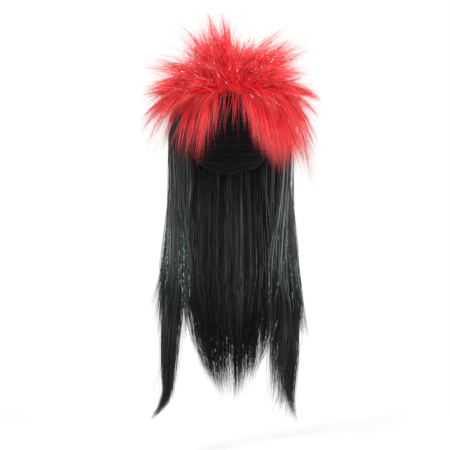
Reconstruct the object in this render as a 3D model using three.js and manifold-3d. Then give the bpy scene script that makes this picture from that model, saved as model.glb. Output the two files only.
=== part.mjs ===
// A costume wig: a spiky red crown and fringe over long, straight black hair, all sewn to a stretch cap.
// Millimetres, +Z up, the face opening towards -Y. The origin is the crown point inside the cap, where a head
// touches it. Hair is modelled as locks that are fused into panels, one panel for each row of sewn hair.
import * as THREE from "three";
import Module from "manifold-3d";

const wasm = await Module();
wasm.setup();

// Inside of the cap: an egg-shaped head, 154 mm from ear to ear and 192 mm from forehead to back.
const HEAD_HALF_WIDTH = 77;
const HEAD_HALF_DEPTH = 96;
const HEAD_TOP = 94; // crown point above the widest level
const HEAD_UNDER = 120; // reach of the egg below the widest level
const HEAD_CENTRE = new THREE.Vector3(0, 0, -HEAD_TOP);

const CAP_WALL = 1.2; // stretch net with its sewn rows
const SEAT_GAP = 0.35; // clearance between neighbouring pieces
const CUT_GROW = 0.8; // a neighbour is grown by this before a piece is cut clear of it
const CUT_CRUMB = 0.1; // detail of a cut edge that is smoothed away
const FACET_DIP = 0.6; // how far the middle of a facet lies inside the curve that it follows
const HAIR_SEAT = CAP_WALL + SEAT_GAP; // where hair starts, out from the head
const BAND_WIDTH = 7; // elastic tape that binds the cap's edge
const BAND_SINK = 0.6; // the tape stands this far inside the cap's inner face
const BAND_GAP = 0.6; // between the cap's edge and the tape

const DOME_TURNS = 32; // facets round the head
const CAP_ROWS = 6; // facets from the crown to the edge
const CROWN_ROWS = 4;

// Form of the head with the cap on, which hair is cut clear of.
const HEAD_FORM_EDGE = 122; // polar angle
const HEAD_FORM_ROWS = 12;
const HEAD_FORM_WALL = 60;

// Edge of the cap: polar angle from the crown at each azimuth. Azimuth 0 is the forehead and 180 the nape.
const CAP_EDGE = [
  { azimuth: 0, polar: 43 },
  { azimuth: 28, polar: 47 },
  { azimuth: 48, polar: 61 },
  { azimuth: 66, polar: 78 },
  { azimuth: 84, polar: 100 }, // ear tab
  { azimuth: 108, polar: 97 }, // behind the ear
  { azimuth: 145, polar: 112 },
  { azimuth: 180, polar: 117 },
];

// Edge of the red hair on the cap.
const RED_EDGE = [
  { azimuth: 0, polar: 33 },
  { azimuth: 28, polar: 36 },
  { azimuth: 48, polar: 47 },
  { azimuth: 70, polar: 52 },
  { azimuth: 110, polar: 53 },
  { azimuth: 180, polar: 56 },
];
const RED_PAD = 26; // depth of the dense hair over the crown point
const RED_PAD_EDGE = 5; // depth of the dense hair at its edge

// Spiky crown: the tufts end on a burst round this centre. Its outline seen from the front is a table of reaches,
// by angle from +X towards +Z.
const BURST_CENTRE = new THREE.Vector3(4, -6, -20);
const BURST_FRONT = 106;
const BURST_BACK = 138;
const BURST_OUTLINE = [
  { angle: -46, reach: 172 },
  { angle: -20, reach: 150 },
  { angle: 0, reach: 136 },
  { angle: 18, reach: 116 },
  { angle: 38, reach: 132 },
  { angle: 62, reach: 112 },
  { angle: 80, reach: 88 },
  { angle: 100, reach: 124 },
  { angle: 120, reach: 117 },
  { angle: 136, reach: 107 },
  { angle: 155, reach: 125 },
  { angle: 182, reach: 150 },
  { angle: 206, reach: 136 },
  { angle: 224, reach: 118 },
];
// Rows of tufts from front to back: depth is the angle out of the front view's plane, and the angles are those
// of the row's tufts in that view.
const TUFT_ROWS = [
  { depth: -64, share: 0.96, angles: [16, 62, 112, 168] },
  { depth: -38, share: 1.0, angles: [-30, 6, 44, 84, 124, 164, 204] },
  { depth: -12, share: 1.0, angles: [-44, -22, 0, 37, 61, 99, 121, 150, 182, 207] },
  { depth: 14, share: 1.0, angles: [-46, -12, 22, 48, 74, 111, 137, 167, 194] },
  { depth: 40, share: 0.95, angles: [-34, 4, 46, 100, 150, 206] },
  { depth: 66, share: 0.95, angles: [-26, 51, 128, 206] },
];
const TUFT = { wide: 40, thick: 40, stations: 3, sides: 5 };
const TUFT_ROOT = 0.7; // a tuft grows from this share of its tip's polar angle,
const TUFT_INSET = 8; // but not nearer than this to the edge of the red hair, in degrees
const TUFT_LIFT = { crown: 0.3, side: 0.5 }; // share of its length that a tuft rises along the head's normal

// Fringe: locks that spring from the forehead's edge and fall in front of the brow.
const FRINGE_SPAN = { from: -60, to: 61, steps: 8 };
const FRINGE_TAPE = { low: 3, high: 8, depth: 4 }; // degrees above the cap's edge, and depth in mm
const FRINGE_RISE = 3; // a lock springs out and up before it falls
const FRINGE = [
  { azimuth: -54, out: 30, tipX: -88, tipY: -70, tipZ: -116, wide: 18, thick: 10 },
  { azimuth: -44, out: 26, tipX: -66, tipY: -78, tipZ: -134, wide: 12, thick: 7 },
  { azimuth: -31, out: 24, tipX: -49, tipY: -92, tipZ: -146, wide: 21, thick: 10 },
  { azimuth: -21, out: 24, tipX: -30, tipY: -102, tipZ: -124, wide: 13, thick: 7 },
  { azimuth: -9, out: 22, tipX: -10, tipY: -106, tipZ: -96, wide: 9, thick: 5 },
  { azimuth: 4, out: 22, tipX: 8, tipY: -106, tipZ: -118, wide: 9, thick: 5 },
  { azimuth: 15, out: 24, tipX: 24, tipY: -104, tipZ: -100, wide: 10, thick: 5 },
  { azimuth: 26, out: 24, tipX: 48, tipY: -98, tipZ: -124, wide: 16, thick: 9 },
  { azimuth: 37, out: 27, tipX: 64, tipY: -92, tipZ: -148, wide: 22, thick: 12 },
  { azimuth: 47, out: 31, tipX: 84, tipY: -82, tipZ: -168, wide: 24, thick: 13 },
  { azimuth: 56, out: 34, tipX: 106, tipY: -70, tipZ: -160, wide: 26, thick: 14 },
];

// Long black hair. Each lock starts under the red hair, swells over the ear and hangs through a middle and a low
// place to its tip.
const BLACK_ROOT = { sideLayer: 55, side: 63, backLayer: 58, back: 67 }; // polar angles of the sewn rows
const ROOT_SEAT = 0.2; // a root's middle stands this share of the lock's thickness off the cap
const EAR_POLAR = 84;
const JAW_Z = -205;
const JAW_SHARE = 0.12; // how far a lock has turned towards its middle place at the jaw
const MID_Z = -330;
const LOW_SHARE = 0.7; // the low place, on the way from the middle one to the tip
const LEFT_LONG = [
  { azimuth: -73, swell: 9, midX: -90, midY: -28, lowX: -101, lowY: -30, tipX: -116, tipY: -33, tipZ: -556 },
  { azimuth: -86, swell: 9, midX: -102, midY: -12, lowX: -106, lowY: -22, tipX: -131, tipY: -30, tipZ: -572 },
  { azimuth: -99, swell: 9, midX: -106, midY: 8, lowX: -109, lowY: -8, tipX: -122, tipY: -20, tipZ: -562 },
  { azimuth: -112, swell: 9, midX: -98, midY: 27, lowX: -104, lowY: 6, tipX: -110, tipY: -4, tipZ: -540 },
];
const RIGHT_LONG = [
  { azimuth: 73, swell: 9, midX: 78, midY: -30, lowX: 58, lowY: -34, tipX: 44, tipY: -36, tipZ: -544 },
  { azimuth: 84, swell: 9, midX: 91, midY: -17, lowX: 84, lowY: -24, tipX: 70, tipY: -28, tipZ: -568 },
  { azimuth: 95, swell: 9, midX: 101, midY: 1, lowX: 96, lowY: -10, tipX: 92, tipY: -16, tipZ: -577 },
  { azimuth: 106, swell: 9, midX: 103, midY: 19, lowX: 105, lowY: 6, tipX: 114, tipY: 0, tipZ: -580 },
  { azimuth: 116, swell: 9, midX: 94, midY: 36, lowX: 99, lowY: 22, tipX: 98, tipY: 16, tipZ: -556 },
];
const LEFT_LAYER = [
  { azimuth: -69, swell: 20, midX: -80, midY: -46, lowX: -79, lowY: -48, tipX: -77, tipY: -49, tipZ: -440 },
  { azimuth: -80, swell: 20, midX: -101, midY: -39, lowX: -100, lowY: -42, tipX: -98, tipY: -43, tipZ: -428 },
  { azimuth: -92, swell: 20, midX: -113, midY: -19, lowX: -117, lowY: -23, tipX: -126, tipY: -28, tipZ: -380 },
  { azimuth: -104, swell: 20, midX: -115, midY: 6, lowX: -117, lowY: 1, tipX: -119, tipY: -4, tipZ: -428 },
];
const RIGHT_LAYER = [
  { azimuth: 69, swell: 20, midX: 70, midY: -47, lowX: 66, lowY: -49, tipX: 60, tipY: -51, tipZ: -432 },
  { azimuth: 80, swell: 20, midX: 91, midY: -40, lowX: 91, lowY: -43, tipX: 88, tipY: -45, tipZ: -448 },
  { azimuth: 92, swell: 20, midX: 111, midY: -20, lowX: 117, lowY: -24, tipX: 122, tipY: -28, tipZ: -430 },
  { azimuth: 104, swell: 20, midX: 115, midY: 6, lowX: 120, lowY: 2, tipX: 127, tipY: -2, tipZ: -438 },
];
const BACK_LONG = [
  { azimuth: -130, swell: 9, midX: -76, midY: 62, lowX: -58, lowY: 64, tipX: -44, tipY: 66, tipZ: -478 },
  { azimuth: -150, swell: 9, midX: -50, midY: 84, lowX: -40, lowY: 84, tipX: -30, tipY: 84, tipZ: -520 },
  { azimuth: -170, swell: 9, midX: -17, midY: 94, lowX: -14, lowY: 92, tipX: -10, tipY: 90, tipZ: -546 },
  { azimuth: 170, swell: 9, midX: 17, midY: 94, lowX: 15, lowY: 92, tipX: 13, tipY: 90, tipZ: -552 },
  { azimuth: 150, swell: 9, midX: 50, midY: 84, lowX: 41, lowY: 84, tipX: 34, tipY: 84, tipZ: -526 },
  { azimuth: 130, swell: 9, midX: 76, midY: 62, lowX: 60, lowY: 64, tipX: 48, tipY: 66, tipZ: -484 },
];
const BACK_LAYER = [
  { azimuth: -127, swell: 21, midX: -88, midY: 68, lowX: -80, lowY: 70, tipX: -72, tipY: 72, tipZ: -396 },
  { azimuth: -148, swell: 21, midX: -58, midY: 96, lowX: -54, lowY: 97, tipX: -48, tipY: 99, tipZ: -418 },
  { azimuth: -169, swell: 21, midX: -20, midY: 109, lowX: -20, lowY: 109, tipX: -16, tipY: 111, tipZ: -434 },
  { azimuth: 169, swell: 21, midX: 20, midY: 109, lowX: 21, lowY: 109, tipX: 20, tipY: 111, tipZ: -430 },
  { azimuth: 148, swell: 21, midX: 58, midY: 96, lowX: 55, lowY: 97, tipX: 50, tipY: 99, tipZ: -414 },
  { azimuth: 127, swell: 21, midX: 88, midY: 68, lowX: 81, lowY: 70, tipX: 74, tipY: 72, tipZ: -392 },
];
const LONG_LOCK = { wide: 33, thick: 12, stations: 8, sides: 6 };
const BACK_LOCK = { wide: 46, thick: 12, stations: 7, sides: 6 };
const LAYER_LOCK = { wide: 33, thick: 8, stations: 7, sides: 6 };
const BACK_LAYER_LOCK = { wide: 56, thick: 8, stations: 6, sides: 6 };

const ROOT_CROWD = 1.4; // a lock's sections stand closer together near its root

// Shares of a lock's width and thickness along its length, from root to tip.
const HANGING_PROFILE = [
  { at: 0, wide: 0.8, thick: 0.35 },
  { at: 0.16, wide: 1, thick: 0.95 },
  { at: 0.6, wide: 0.95, thick: 1 },
  { at: 0.84, wide: 0.68, thick: 0.7 },
  { at: 1, wide: 0.04, thick: 0.05 },
];
const TUFT_PROFILE = [
  { at: 0, wide: 0.9, thick: 0.9 },
  { at: 0.4, wide: 1, thick: 1 },
  { at: 0.72, wide: 0.6, thick: 0.6 },
  { at: 1, wide: 0.03, thick: 0.03 },
];

const UP = new THREE.Vector3(0, 0, 1);
const rad = THREE.MathUtils.degToRad;

// Reads a table of rows at a place between two of them, on a smooth step from row to row.
function between(rows, key, at, value) {
  const next = Math.max(1, rows.findIndex((row) => row[key] >= at));
  const [a, b] = at >= rows.at(-1)[key] ? rows.slice(-2) : [rows[next - 1], rows[next]];
  const share = THREE.MathUtils.smoothstep(at, a[key], b[key]);
  return THREE.MathUtils.lerp(a[value], b[value], share);
}

// Both sides of the head are alike, so the edges are read by the azimuth's size.
const sideOf = (azimuth) => Math.abs(THREE.MathUtils.euclideanModulo(azimuth + 180, 360) - 180);
const capEdge = (azimuth) => between(CAP_EDGE, "azimuth", sideOf(azimuth), "polar");
const redEdge = (azimuth) => between(RED_EDGE, "azimuth", sideOf(azimuth), "polar");

// A point on the cap's inner face, moved out along the face's normal.
function headPoint(azimuth, polar, out = 0) {
  const [turn, lean] = [rad(azimuth), rad(polar)];
  const unit = new THREE.Vector3(Math.sin(lean) * Math.sin(turn), -Math.sin(lean) * Math.cos(turn), Math.cos(lean));
  const half = new THREE.Vector3(HEAD_HALF_WIDTH, HEAD_HALF_DEPTH, polar < 90 ? HEAD_TOP : HEAD_UNDER);
  const normal = unit.clone().divide(half).normalize();
  return unit.multiply(half).addScaledVector(normal, out).add(HEAD_CENTRE);
}

// A closed surface over rings of points. With two end points it runs from one to the other, and else it joins its
// last ring to its first.
function skin(rings, ends = []) {
  const count = rings[0].length;
  const points = [...rings.flat(), ...ends];
  const faces = [];
  const spans = ends.length ? rings.length - 1 : rings.length;
  for (let r = 0; r < spans; r++) {
    const [here, there] = [r * count, ((r + 1) % rings.length) * count];
    for (let i = 0; i < count; i++) {
      const j = (i + 1) % count;
      faces.push(here + i, here + j, there + j, here + i, there + j, there + i);
    }
  }
  if (ends.length) {
    const [last, start, end] = [(rings.length - 1) * count, rings.length * count, rings.length * count + 1];
    for (let i = 0; i < count; i++) {
      const j = (i + 1) % count;
      faces.push(start, j, i, last + i, last + j, end);
    }
  }
  const geometry = new THREE.BufferGeometry().setFromPoints(points);
  return solidOf(geometry.setIndex(faces));
}

function solidOf(geometry) {
  const vertProperties = new Float32Array(geometry.getAttribute("position").array);
  const triVerts = new Uint32Array(geometry.index.array);
  const solid = new wasm.Manifold(new wasm.Mesh({ numProp: 3, vertProperties, triVerts }));
  if (solid.volume() > 0) return solid;
  return new wasm.Manifold(new wasm.Mesh({ numProp: 3, vertProperties, triVerts: triVerts.reverse() }));
}

const fuse = (solids) => solids.reduce((all, one) => all.add(one));

// The solid cut clear of its neighbours, without the crumbs that a cut leaves.
function clearOf(solid, ...neighbours) {
  const cut = neighbours.reduce((rest, one) => rest.subtract(one), solid);
  const bodies = cut.simplify(CUT_CRUMB).decompose();
  return bodies.reduce((big, one) => (one.volume() > big.volume() ? one : big));
}

// A dome over the head from the crown point to an edge, with an outer and an inner face. Each is given as its
// distance from the head at an azimuth and a share of the way to the edge.
function dome(edge, rows, outer, inner) {
  const turns = Array.from({ length: DOME_TURNS }, (_, i) => (i * 360) / DOME_TURNS);
  const ring = (face, share) => turns.map((a) => headPoint(a, edge(a) * share, face(a, share)));
  const shares = Array.from({ length: rows }, (_, i) => (i + 1) / rows);
  const rings = [...shares.map((s) => ring(outer, s)), ...shares.reverse().map((s) => ring(inner, s))];
  return skin(rings, [headPoint(0, 0, outer(0, 0)), headPoint(0, 0, inner(0, 0))]);
}

// A strip that follows the cap's edge: each section is a rectangle between two polar angles and two depths.
function section(azimuth, low, high, inner, outer) {
  const corners = [[low, inner], [low, outer], [high, outer], [high, inner]];
  return corners.map(([polar, out]) => headPoint(azimuth, polar, out));
}

// A lock of hair: oval sections along a path, with their width along a sideways direction.
function lock(path, sideways, profile, { wide, thick, stations, sides }, grow = 0) {
  const rings = [];
  for (let s = 0; s < stations; s++) {
    const at = (s / (stations - 1)) ** ROOT_CROWD;
    const [centre, along] = [path.getPointAt(at), path.getTangentAt(at)];
    centre.addScaledVector(along, s === stations - 1 ? grow : 0);
    const depth = sideways(centre).cross(along).normalize();
    const across = along.clone().cross(depth);
    const halfWide = (wide * between(profile, "at", at, "wide")) / 2 + grow;
    const halfThick = (thick * between(profile, "at", at, "thick")) / 2 + grow;
    rings.push(Array.from({ length: sides }, (_, i) => {
      const turn = ((i + 0.5) * 2 * Math.PI) / sides;
      return centre.clone()
        .addScaledVector(across, Math.cos(turn) * halfWide)
        .addScaledVector(depth, Math.sin(turn) * halfThick);
    }));
  }
  const [start, end] = [path.getPointAt(0), path.getPointAt(1)];
  start.addScaledVector(path.getTangentAt(0), -2 * grow);
  end.addScaledVector(path.getTangentAt(1), 2 * grow);
  return skin(rings, [start, end]);
}

// The direction round the head's upright axis, at a point of a lock or all along it.
const roundAxis = (point) => new THREE.Vector3(-point.y, point.x, 0);
const roundAxisAt = (azimuth) => () => new THREE.Vector3(Math.cos(rad(azimuth)), Math.sin(rad(azimuth)), 0);

function hangingPath(row, rootPolar, thick) {
  const seat = HAIR_SEAT + thick * ROOT_SEAT;
  const ear = headPoint(row.azimuth, EAR_POLAR, row.swell);
  const mid = new THREE.Vector3(row.midX, row.midY, MID_Z);
  const jaw = ear.clone().lerp(mid, JAW_SHARE).setZ(JAW_Z);
  return new THREE.CatmullRomCurve3([
    headPoint(row.azimuth, rootPolar, seat),
    ear,
    jaw,
    mid,
    new THREE.Vector3(row.lowX, row.lowY, THREE.MathUtils.lerp(MID_Z, row.tipZ, LOW_SHARE)),
    new THREE.Vector3(row.tipX, row.tipY, row.tipZ),
  ], false, "centripetal");
}

function hangingPanel(rows, rootPolar, size, grow = 0) {
  return fuse(rows.map((row) =>
    lock(hangingPath(row, rootPolar - grow, size.thick), roundAxis, HANGING_PROFILE, size, grow)));
}

function fringeLocks(grow = 0) {
  return FRINGE.map((row) => {
    const root = headPoint(row.azimuth, capEdge(row.azimuth) - FRINGE_TAPE.high);
    const crest = headPoint(row.azimuth, capEdge(row.azimuth) - FRINGE_TAPE.low, row.out);
    crest.z += FRINGE_RISE;
    const tip = new THREE.Vector3(row.tipX, row.tipY, row.tipZ);
    const path = new THREE.QuadraticBezierCurve3(root, crest, tip);
    return lock(path, roundAxisAt(row.azimuth), TUFT_PROFILE, { ...row, stations: 4, sides: 5 }, grow);
  });
}

function fringeTape(grow = 0) {
  const { from, to, steps } = FRINGE_SPAN;
  const rings = Array.from({ length: steps + 1 }, (_, i) => {
    const azimuth = THREE.MathUtils.lerp(from - grow, to + grow, i / steps);
    const edge = capEdge(azimuth);
    return section(azimuth, edge - FRINGE_TAPE.high - grow, edge - FRINGE_TAPE.low + grow,
      HAIR_SEAT - grow, HAIR_SEAT + FRINGE_TAPE.depth + grow);
  });
  const middle = (ring) => ring.reduce((sum, p) => sum.add(p), new THREE.Vector3()).divideScalar(ring.length);
  return skin(rings, [middle(rings[0]), middle(rings.at(-1))]);
}

// The tip of a tuft on the burst, from its angle in the front view and its depth angle out of that view.
function burstTip(angle, depth, share) {
  const reach = between(BURST_OUTLINE, "angle", angle, "reach") * share;
  const [turn, lean] = [rad(angle), rad(depth)];
  return new THREE.Vector3(
    Math.cos(turn) * Math.cos(lean) * reach,
    Math.sin(lean) * (depth < 0 ? BURST_FRONT : BURST_BACK) * share,
    Math.sin(turn) * Math.cos(lean) * reach,
  ).add(BURST_CENTRE);
}

function tuft(angle, depth, share) {
  const tip = burstTip(angle, depth, share);
  const fromHead = tip.clone().sub(HEAD_CENTRE);
  const azimuth = THREE.MathUtils.radToDeg(Math.atan2(fromHead.x, -fromHead.y));
  const tipPolar = THREE.MathUtils.radToDeg(fromHead.angleTo(UP));
  const polar = Math.min(tipPolar * TUFT_ROOT, redEdge(azimuth) - TUFT_INSET);
  const root = headPoint(azimuth, polar, 0);
  const rise = THREE.MathUtils.lerp(TUFT_LIFT.crown, TUFT_LIFT.side, Math.min(1, tipPolar / 90));
  const lift = headPoint(azimuth, polar, root.distanceTo(tip) * rise);
  const path = new THREE.QuadraticBezierCurve3(root, lift, tip);
  return lock(path, roundAxisAt(azimuth), TUFT_PROFILE, TUFT);
}

function crownTufts() {
  return TUFT_ROWS.flatMap((row) => row.angles.map((angle) => tuft(angle, row.depth, row.share)));
}

// Dense hair under the tufts, deep at the crown and thin at its edge.
function crownPad() {
  const depth = (azimuth, share) => THREE.MathUtils.lerp(RED_PAD, RED_PAD_EDGE, share ** 3);
  return dome(redEdge, CROWN_ROWS, depth, () => HAIR_SEAT);
}

const cap = dome(capEdge, CAP_ROWS, () => CAP_WALL, () => 0);
const headForm = dome(() => HEAD_FORM_EDGE, HEAD_FORM_ROWS, () => HAIR_SEAT + FACET_DIP, () => -HEAD_FORM_WALL);

const bandStep = THREE.MathUtils.radToDeg(BAND_WIDTH / HEAD_TOP);
const bandGap = THREE.MathUtils.radToDeg(BAND_GAP / HEAD_TOP);
const bandRings = Array.from({ length: DOME_TURNS }, (_, i) => {
  const azimuth = (i * 360) / DOME_TURNS;
  const edge = capEdge(azimuth) + bandGap;
  return section(azimuth, edge, edge + bandStep, -BAND_SINK, CAP_WALL);
});
const band = skin(bandRings);

const panel = {
  leftLong: (grow) => hangingPanel(LEFT_LONG, BLACK_ROOT.side, LONG_LOCK, grow),
  rightLong: (grow) => hangingPanel(RIGHT_LONG, BLACK_ROOT.side, LONG_LOCK, grow),
  backLong: (grow) => hangingPanel(BACK_LONG, BLACK_ROOT.back, BACK_LOCK, grow),
  leftLayer: (grow) => hangingPanel(LEFT_LAYER, BLACK_ROOT.sideLayer, LAYER_LOCK, grow),
  rightLayer: (grow) => hangingPanel(RIGHT_LAYER, BLACK_ROOT.sideLayer, LAYER_LOCK, grow),
  backLayer: (grow) => hangingPanel(BACK_LAYER, BLACK_ROOT.backLayer, BACK_LAYER_LOCK, grow),
};
const grown = Object.fromEntries(Object.entries(panel).map(([name, make]) => [name, make(CUT_GROW)]));

const leftLong = clearOf(panel.leftLong(), headForm);
const rightLong = clearOf(panel.rightLong(), headForm);
const backLong = clearOf(panel.backLong(), headForm, grown.leftLong, grown.rightLong);
const leftLayer = clearOf(panel.leftLayer(), headForm, grown.leftLong, grown.backLong);
const rightLayer = clearOf(panel.rightLayer(), headForm, grown.rightLong, grown.backLong);
const backLayer = clearOf(panel.backLayer(), headForm, grown.backLong, grown.leftLong, grown.rightLong,
  grown.leftLayer, grown.rightLayer);
const blackHair = Object.values(grown);
const fringe = clearOf(fuse([fringeTape(), ...fringeLocks()]), headForm, ...blackHair);
const crown = clearOf(fuse([crownPad(), ...crownTufts()]), headForm, ...blackHair,
  fringeTape(CUT_GROW), ...fringeLocks(CUT_GROW));

const netBlack = new THREE.MeshStandardMaterial({ color: 0x17171a, roughness: 0.9, metalness: 0 });
const tapeBlack = new THREE.MeshStandardMaterial({ color: 0x1f1a1c, roughness: 0.8, metalness: 0 });
const hairRed = new THREE.MeshStandardMaterial({ color: 0xdc2333, roughness: 0.55, metalness: 0 });
const hairBlack = new THREE.MeshStandardMaterial({ color: 0x202225, roughness: 0.45, metalness: 0 });

function mesh(name, solid, material) {
  const { vertProperties, triVerts } = solid.getMesh();
  const geometry = new THREE.BufferGeometry();
  geometry.setAttribute("position", new THREE.BufferAttribute(vertProperties, 3));
  geometry.setIndex(new THREE.BufferAttribute(triVerts, 1));
  geometry.computeVertexNormals();
  const made = new THREE.Mesh(geometry, material);
  made.name = name;
  return made;
}

const wig = new THREE.Group();
wig.name = "long_straight_wig";
wig.add(
  mesh("wig_cap", cap, netBlack),
  mesh("edge_band", band, tapeBlack),
  mesh("red_crown", crown, hairRed),
  mesh("red_fringe", fringe, hairRed),
  mesh("black_left_long", leftLong, hairBlack),
  mesh("black_right_long", rightLong, hairBlack),
  mesh("black_back_long", backLong, hairBlack),
  mesh("black_left_layer", leftLayer, hairBlack),
  mesh("black_right_layer", rightLayer, hairBlack),
  mesh("black_back_layer", backLayer, hairBlack),
);

export default wig;
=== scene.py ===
# %% [markdown]
# # A long straight wig with a spiky red crown
# A costume wig is a stretch cap with hair sewn to it in panels. This one has short, fluffy red hair over
# the crown and brow, and long straight black hair at the sides and back, with threads of tinsel in both.
# The solids that are loaded here give each panel its place and its form. This lesson gives them their
# looks. Solids alone look carved, and a particle system would be hard to repeat exactly, so each panel is
# made again as a few thousand tapering strands, laid out with arrays of numbers.

# %% Load the solids
import math

import bpy
import numpy as np
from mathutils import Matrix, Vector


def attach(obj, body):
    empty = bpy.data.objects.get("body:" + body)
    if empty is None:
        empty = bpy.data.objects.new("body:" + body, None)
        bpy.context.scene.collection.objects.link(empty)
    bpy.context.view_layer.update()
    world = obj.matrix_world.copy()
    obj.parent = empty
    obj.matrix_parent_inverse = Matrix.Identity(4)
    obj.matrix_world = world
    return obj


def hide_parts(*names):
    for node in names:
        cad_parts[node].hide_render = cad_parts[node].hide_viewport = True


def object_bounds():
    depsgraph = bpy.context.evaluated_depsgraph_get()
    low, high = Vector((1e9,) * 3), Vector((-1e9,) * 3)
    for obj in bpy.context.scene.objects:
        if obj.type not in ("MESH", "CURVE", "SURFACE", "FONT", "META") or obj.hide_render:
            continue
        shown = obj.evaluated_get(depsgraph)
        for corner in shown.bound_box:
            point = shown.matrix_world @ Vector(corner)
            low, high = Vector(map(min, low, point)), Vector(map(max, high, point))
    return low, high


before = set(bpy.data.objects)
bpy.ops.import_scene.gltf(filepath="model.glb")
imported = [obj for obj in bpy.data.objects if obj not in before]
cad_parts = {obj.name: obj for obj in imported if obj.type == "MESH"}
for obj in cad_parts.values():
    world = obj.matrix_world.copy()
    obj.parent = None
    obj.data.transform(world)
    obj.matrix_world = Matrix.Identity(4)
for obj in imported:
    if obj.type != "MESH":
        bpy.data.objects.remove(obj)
SOLID_LOW, SOLID_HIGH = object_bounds()
MM = 0.001
print("solids:", sorted(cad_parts))

# %% [markdown]
# ## Camera
# The picture was taken straight from the front with a long lens, on white. A long lens far away keeps the
# near and far locks at the same scale. The picture's width at the wig gives the camera's distance.

# %% Camera
PICTURE_SPAN = 0.765
PICTURE_MIDDLE = (-0.0085, -0.2448)
LENS = 120.0
SENSOR = 36.0
LOOK_LEVEL = math.radians(90)

camera = bpy.data.objects.new("camera", bpy.data.cameras.new("camera"))
camera.data.lens = LENS
camera.data.sensor_width = SENSOR
camera.location = (PICTURE_MIDDLE[0], -PICTURE_SPAN * LENS / SENSOR, PICTURE_MIDDLE[1])
camera.rotation_euler = (LOOK_LEVEL, 0, 0)
bpy.context.scene.collection.objects.link(camera)
bpy.context.scene.camera = camera
print("camera at", tuple(round(c, 3) for c in camera.location))

# %% [markdown]
# ## Light and floor
# One small lamp would throw hard shadows and a sharp glare on glossy hair. Large round lamps far off are
# soft, as in a studio: a key from the front left, a fill from the right, and one behind that lights the
# edges.

# %% Lamps
LAMPS = [
    {"name": "key", "place": (-1.3, -2.0, 1.3), "size": 1.1, "watts": 54},
    {"name": "fill", "place": (1.7, -1.7, 0.5), "size": 1.0, "watts": 44},
    {"name": "back", "place": (0.6, 1.9, 1.4), "size": 1.4, "watts": 38},
]


def aim_angles(aim):
    flat = math.hypot(aim[0], aim[1])
    return (math.atan2(flat, -aim[2]), 0, math.atan2(aim[0], -aim[1]) + math.pi)


def lamp(name, place, size, watts):
    light = bpy.data.lights.new(name, "AREA")
    light.shape = "DISK"
    light.size = size
    light.energy = watts
    thing = bpy.data.objects.new(name, light)
    thing.location = place
    thing.rotation_euler = aim_angles(np.array([0, 0, PICTURE_MIDDLE[1]]) - np.array(place))
    bpy.context.scene.collection.objects.link(thing)
    print(name, "lamp of", watts, "watts")


for row in LAMPS:
    lamp(**row)

# %% [markdown]
# Light of one strength from all round would flatten the wig. So the sky looks white to the camera but
# lights the hair a little less, and the lamps give a direction. The Standard view keeps the white and the
# strong red.

# %% Sky
SKY_SEEN = 1.0
SKY_LIGHT = 0.8
WHITE = (1, 1, 1, 1)

sky = bpy.data.worlds.new("sky")
sky.use_nodes = True
sky_nodes, sky_links = sky.node_tree.nodes, sky.node_tree.links
seen, lighting = sky_nodes["Background"], sky_nodes.new("ShaderNodeBackground")
for background, strength in [(seen, SKY_SEEN), (lighting, SKY_LIGHT)]:
    background.inputs["Color"].default_value = WHITE
    background.inputs["Strength"].default_value = strength
choice = sky_nodes.new("ShaderNodeMixShader")
sky_links.new(sky_nodes.new("ShaderNodeLightPath").outputs["Is Camera Ray"], choice.inputs["Fac"])
sky_links.new(lighting.outputs[0], choice.inputs[1])
sky_links.new(seen.outputs[0], choice.inputs[2])
sky_links.new(choice.outputs[0], sky_nodes["World Output"].inputs["Surface"])
bpy.context.scene.world = sky
bpy.context.scene.view_settings.view_transform = "Standard"
print("sky seen at", SKY_SEEN, "and lighting at", SKY_LIGHT)

# %% [markdown]
# The wig hangs over a plain pale floor. A wide disc just below the longest tips is enough, because the
# floor only shows in views from above and takes soft shadows.

# %% Floor
FLOOR_DROP = 0.06
FLOOR_RADIUS = 0.8
FLOOR_SIDES = 96
FLOOR_COLOUR = (0.66, 0.66, 0.66)
FLOOR_ROUGH = 0.9


def plain_material(name, colour, roughness):
    material = bpy.data.materials.new(name)
    material.use_nodes = True
    shader = material.node_tree.nodes["Principled BSDF"]
    shader.inputs["Base Color"].default_value = (*colour, 1)
    shader.inputs["Roughness"].default_value = roughness
    return material


floor_level = SOLID_LOW.z - FLOOR_DROP
turns = np.linspace(0, 2 * math.pi, FLOOR_SIDES, endpoint=False)
rim = [(FLOOR_RADIUS * math.cos(turn), FLOOR_RADIUS * math.sin(turn), floor_level) for turn in turns]
floor_mesh = bpy.data.meshes.new("floor")
floor_mesh.from_pydata(rim, [], [tuple(range(FLOOR_SIDES))])
floor = bpy.data.objects.new("floor", floor_mesh)
floor.data.materials.append(plain_material("floor_pale", FLOOR_COLOUR, FLOOR_ROUGH))
bpy.context.scene.collection.objects.link(floor)
print("floor at", round(floor_level, 3))

# %% [markdown]
# ## The cap's egg
# The cap is a thin, egg-shaped wall, and every lock is sewn somewhere on it. So places are given as an
# azimuth round the cap, from the brow, and a polar angle down from the crown point. The edges of the cap
# and of the red hair are short tables that are read on a smooth step, as the solids read them.

# %% Tables that are read smoothly
CAP_EDGE = [(0, 43), (28, 47), (48, 61), (66, 78), (84, 100), (108, 97), (145, 112), (180, 117)]
RED_EDGE = [(0, 33), (28, 36), (48, 47), (70, 52), (110, 53), (180, 56)]


def smooth_step(share):
    return share * share * (3 - 2 * share)


def smooth_read(at, table):
    places, values = np.array(table, float).T
    at = np.clip(at, places[0], places[-1])
    row = np.clip(np.searchsorted(places, at, side="right") - 1, 0, len(places) - 2)
    share = smooth_step((at - places[row]) / (places[row + 1] - places[row]))
    return values[row] + (values[row + 1] - values[row]) * share


def edge_at(azimuth, table):
    side = np.abs((np.asarray(azimuth, float) + 180) % 360 - 180)
    return smooth_read(side, table)


print("cap's edge at the brow, side and nape:", edge_at([0, 84, 180], CAP_EDGE))

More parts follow.
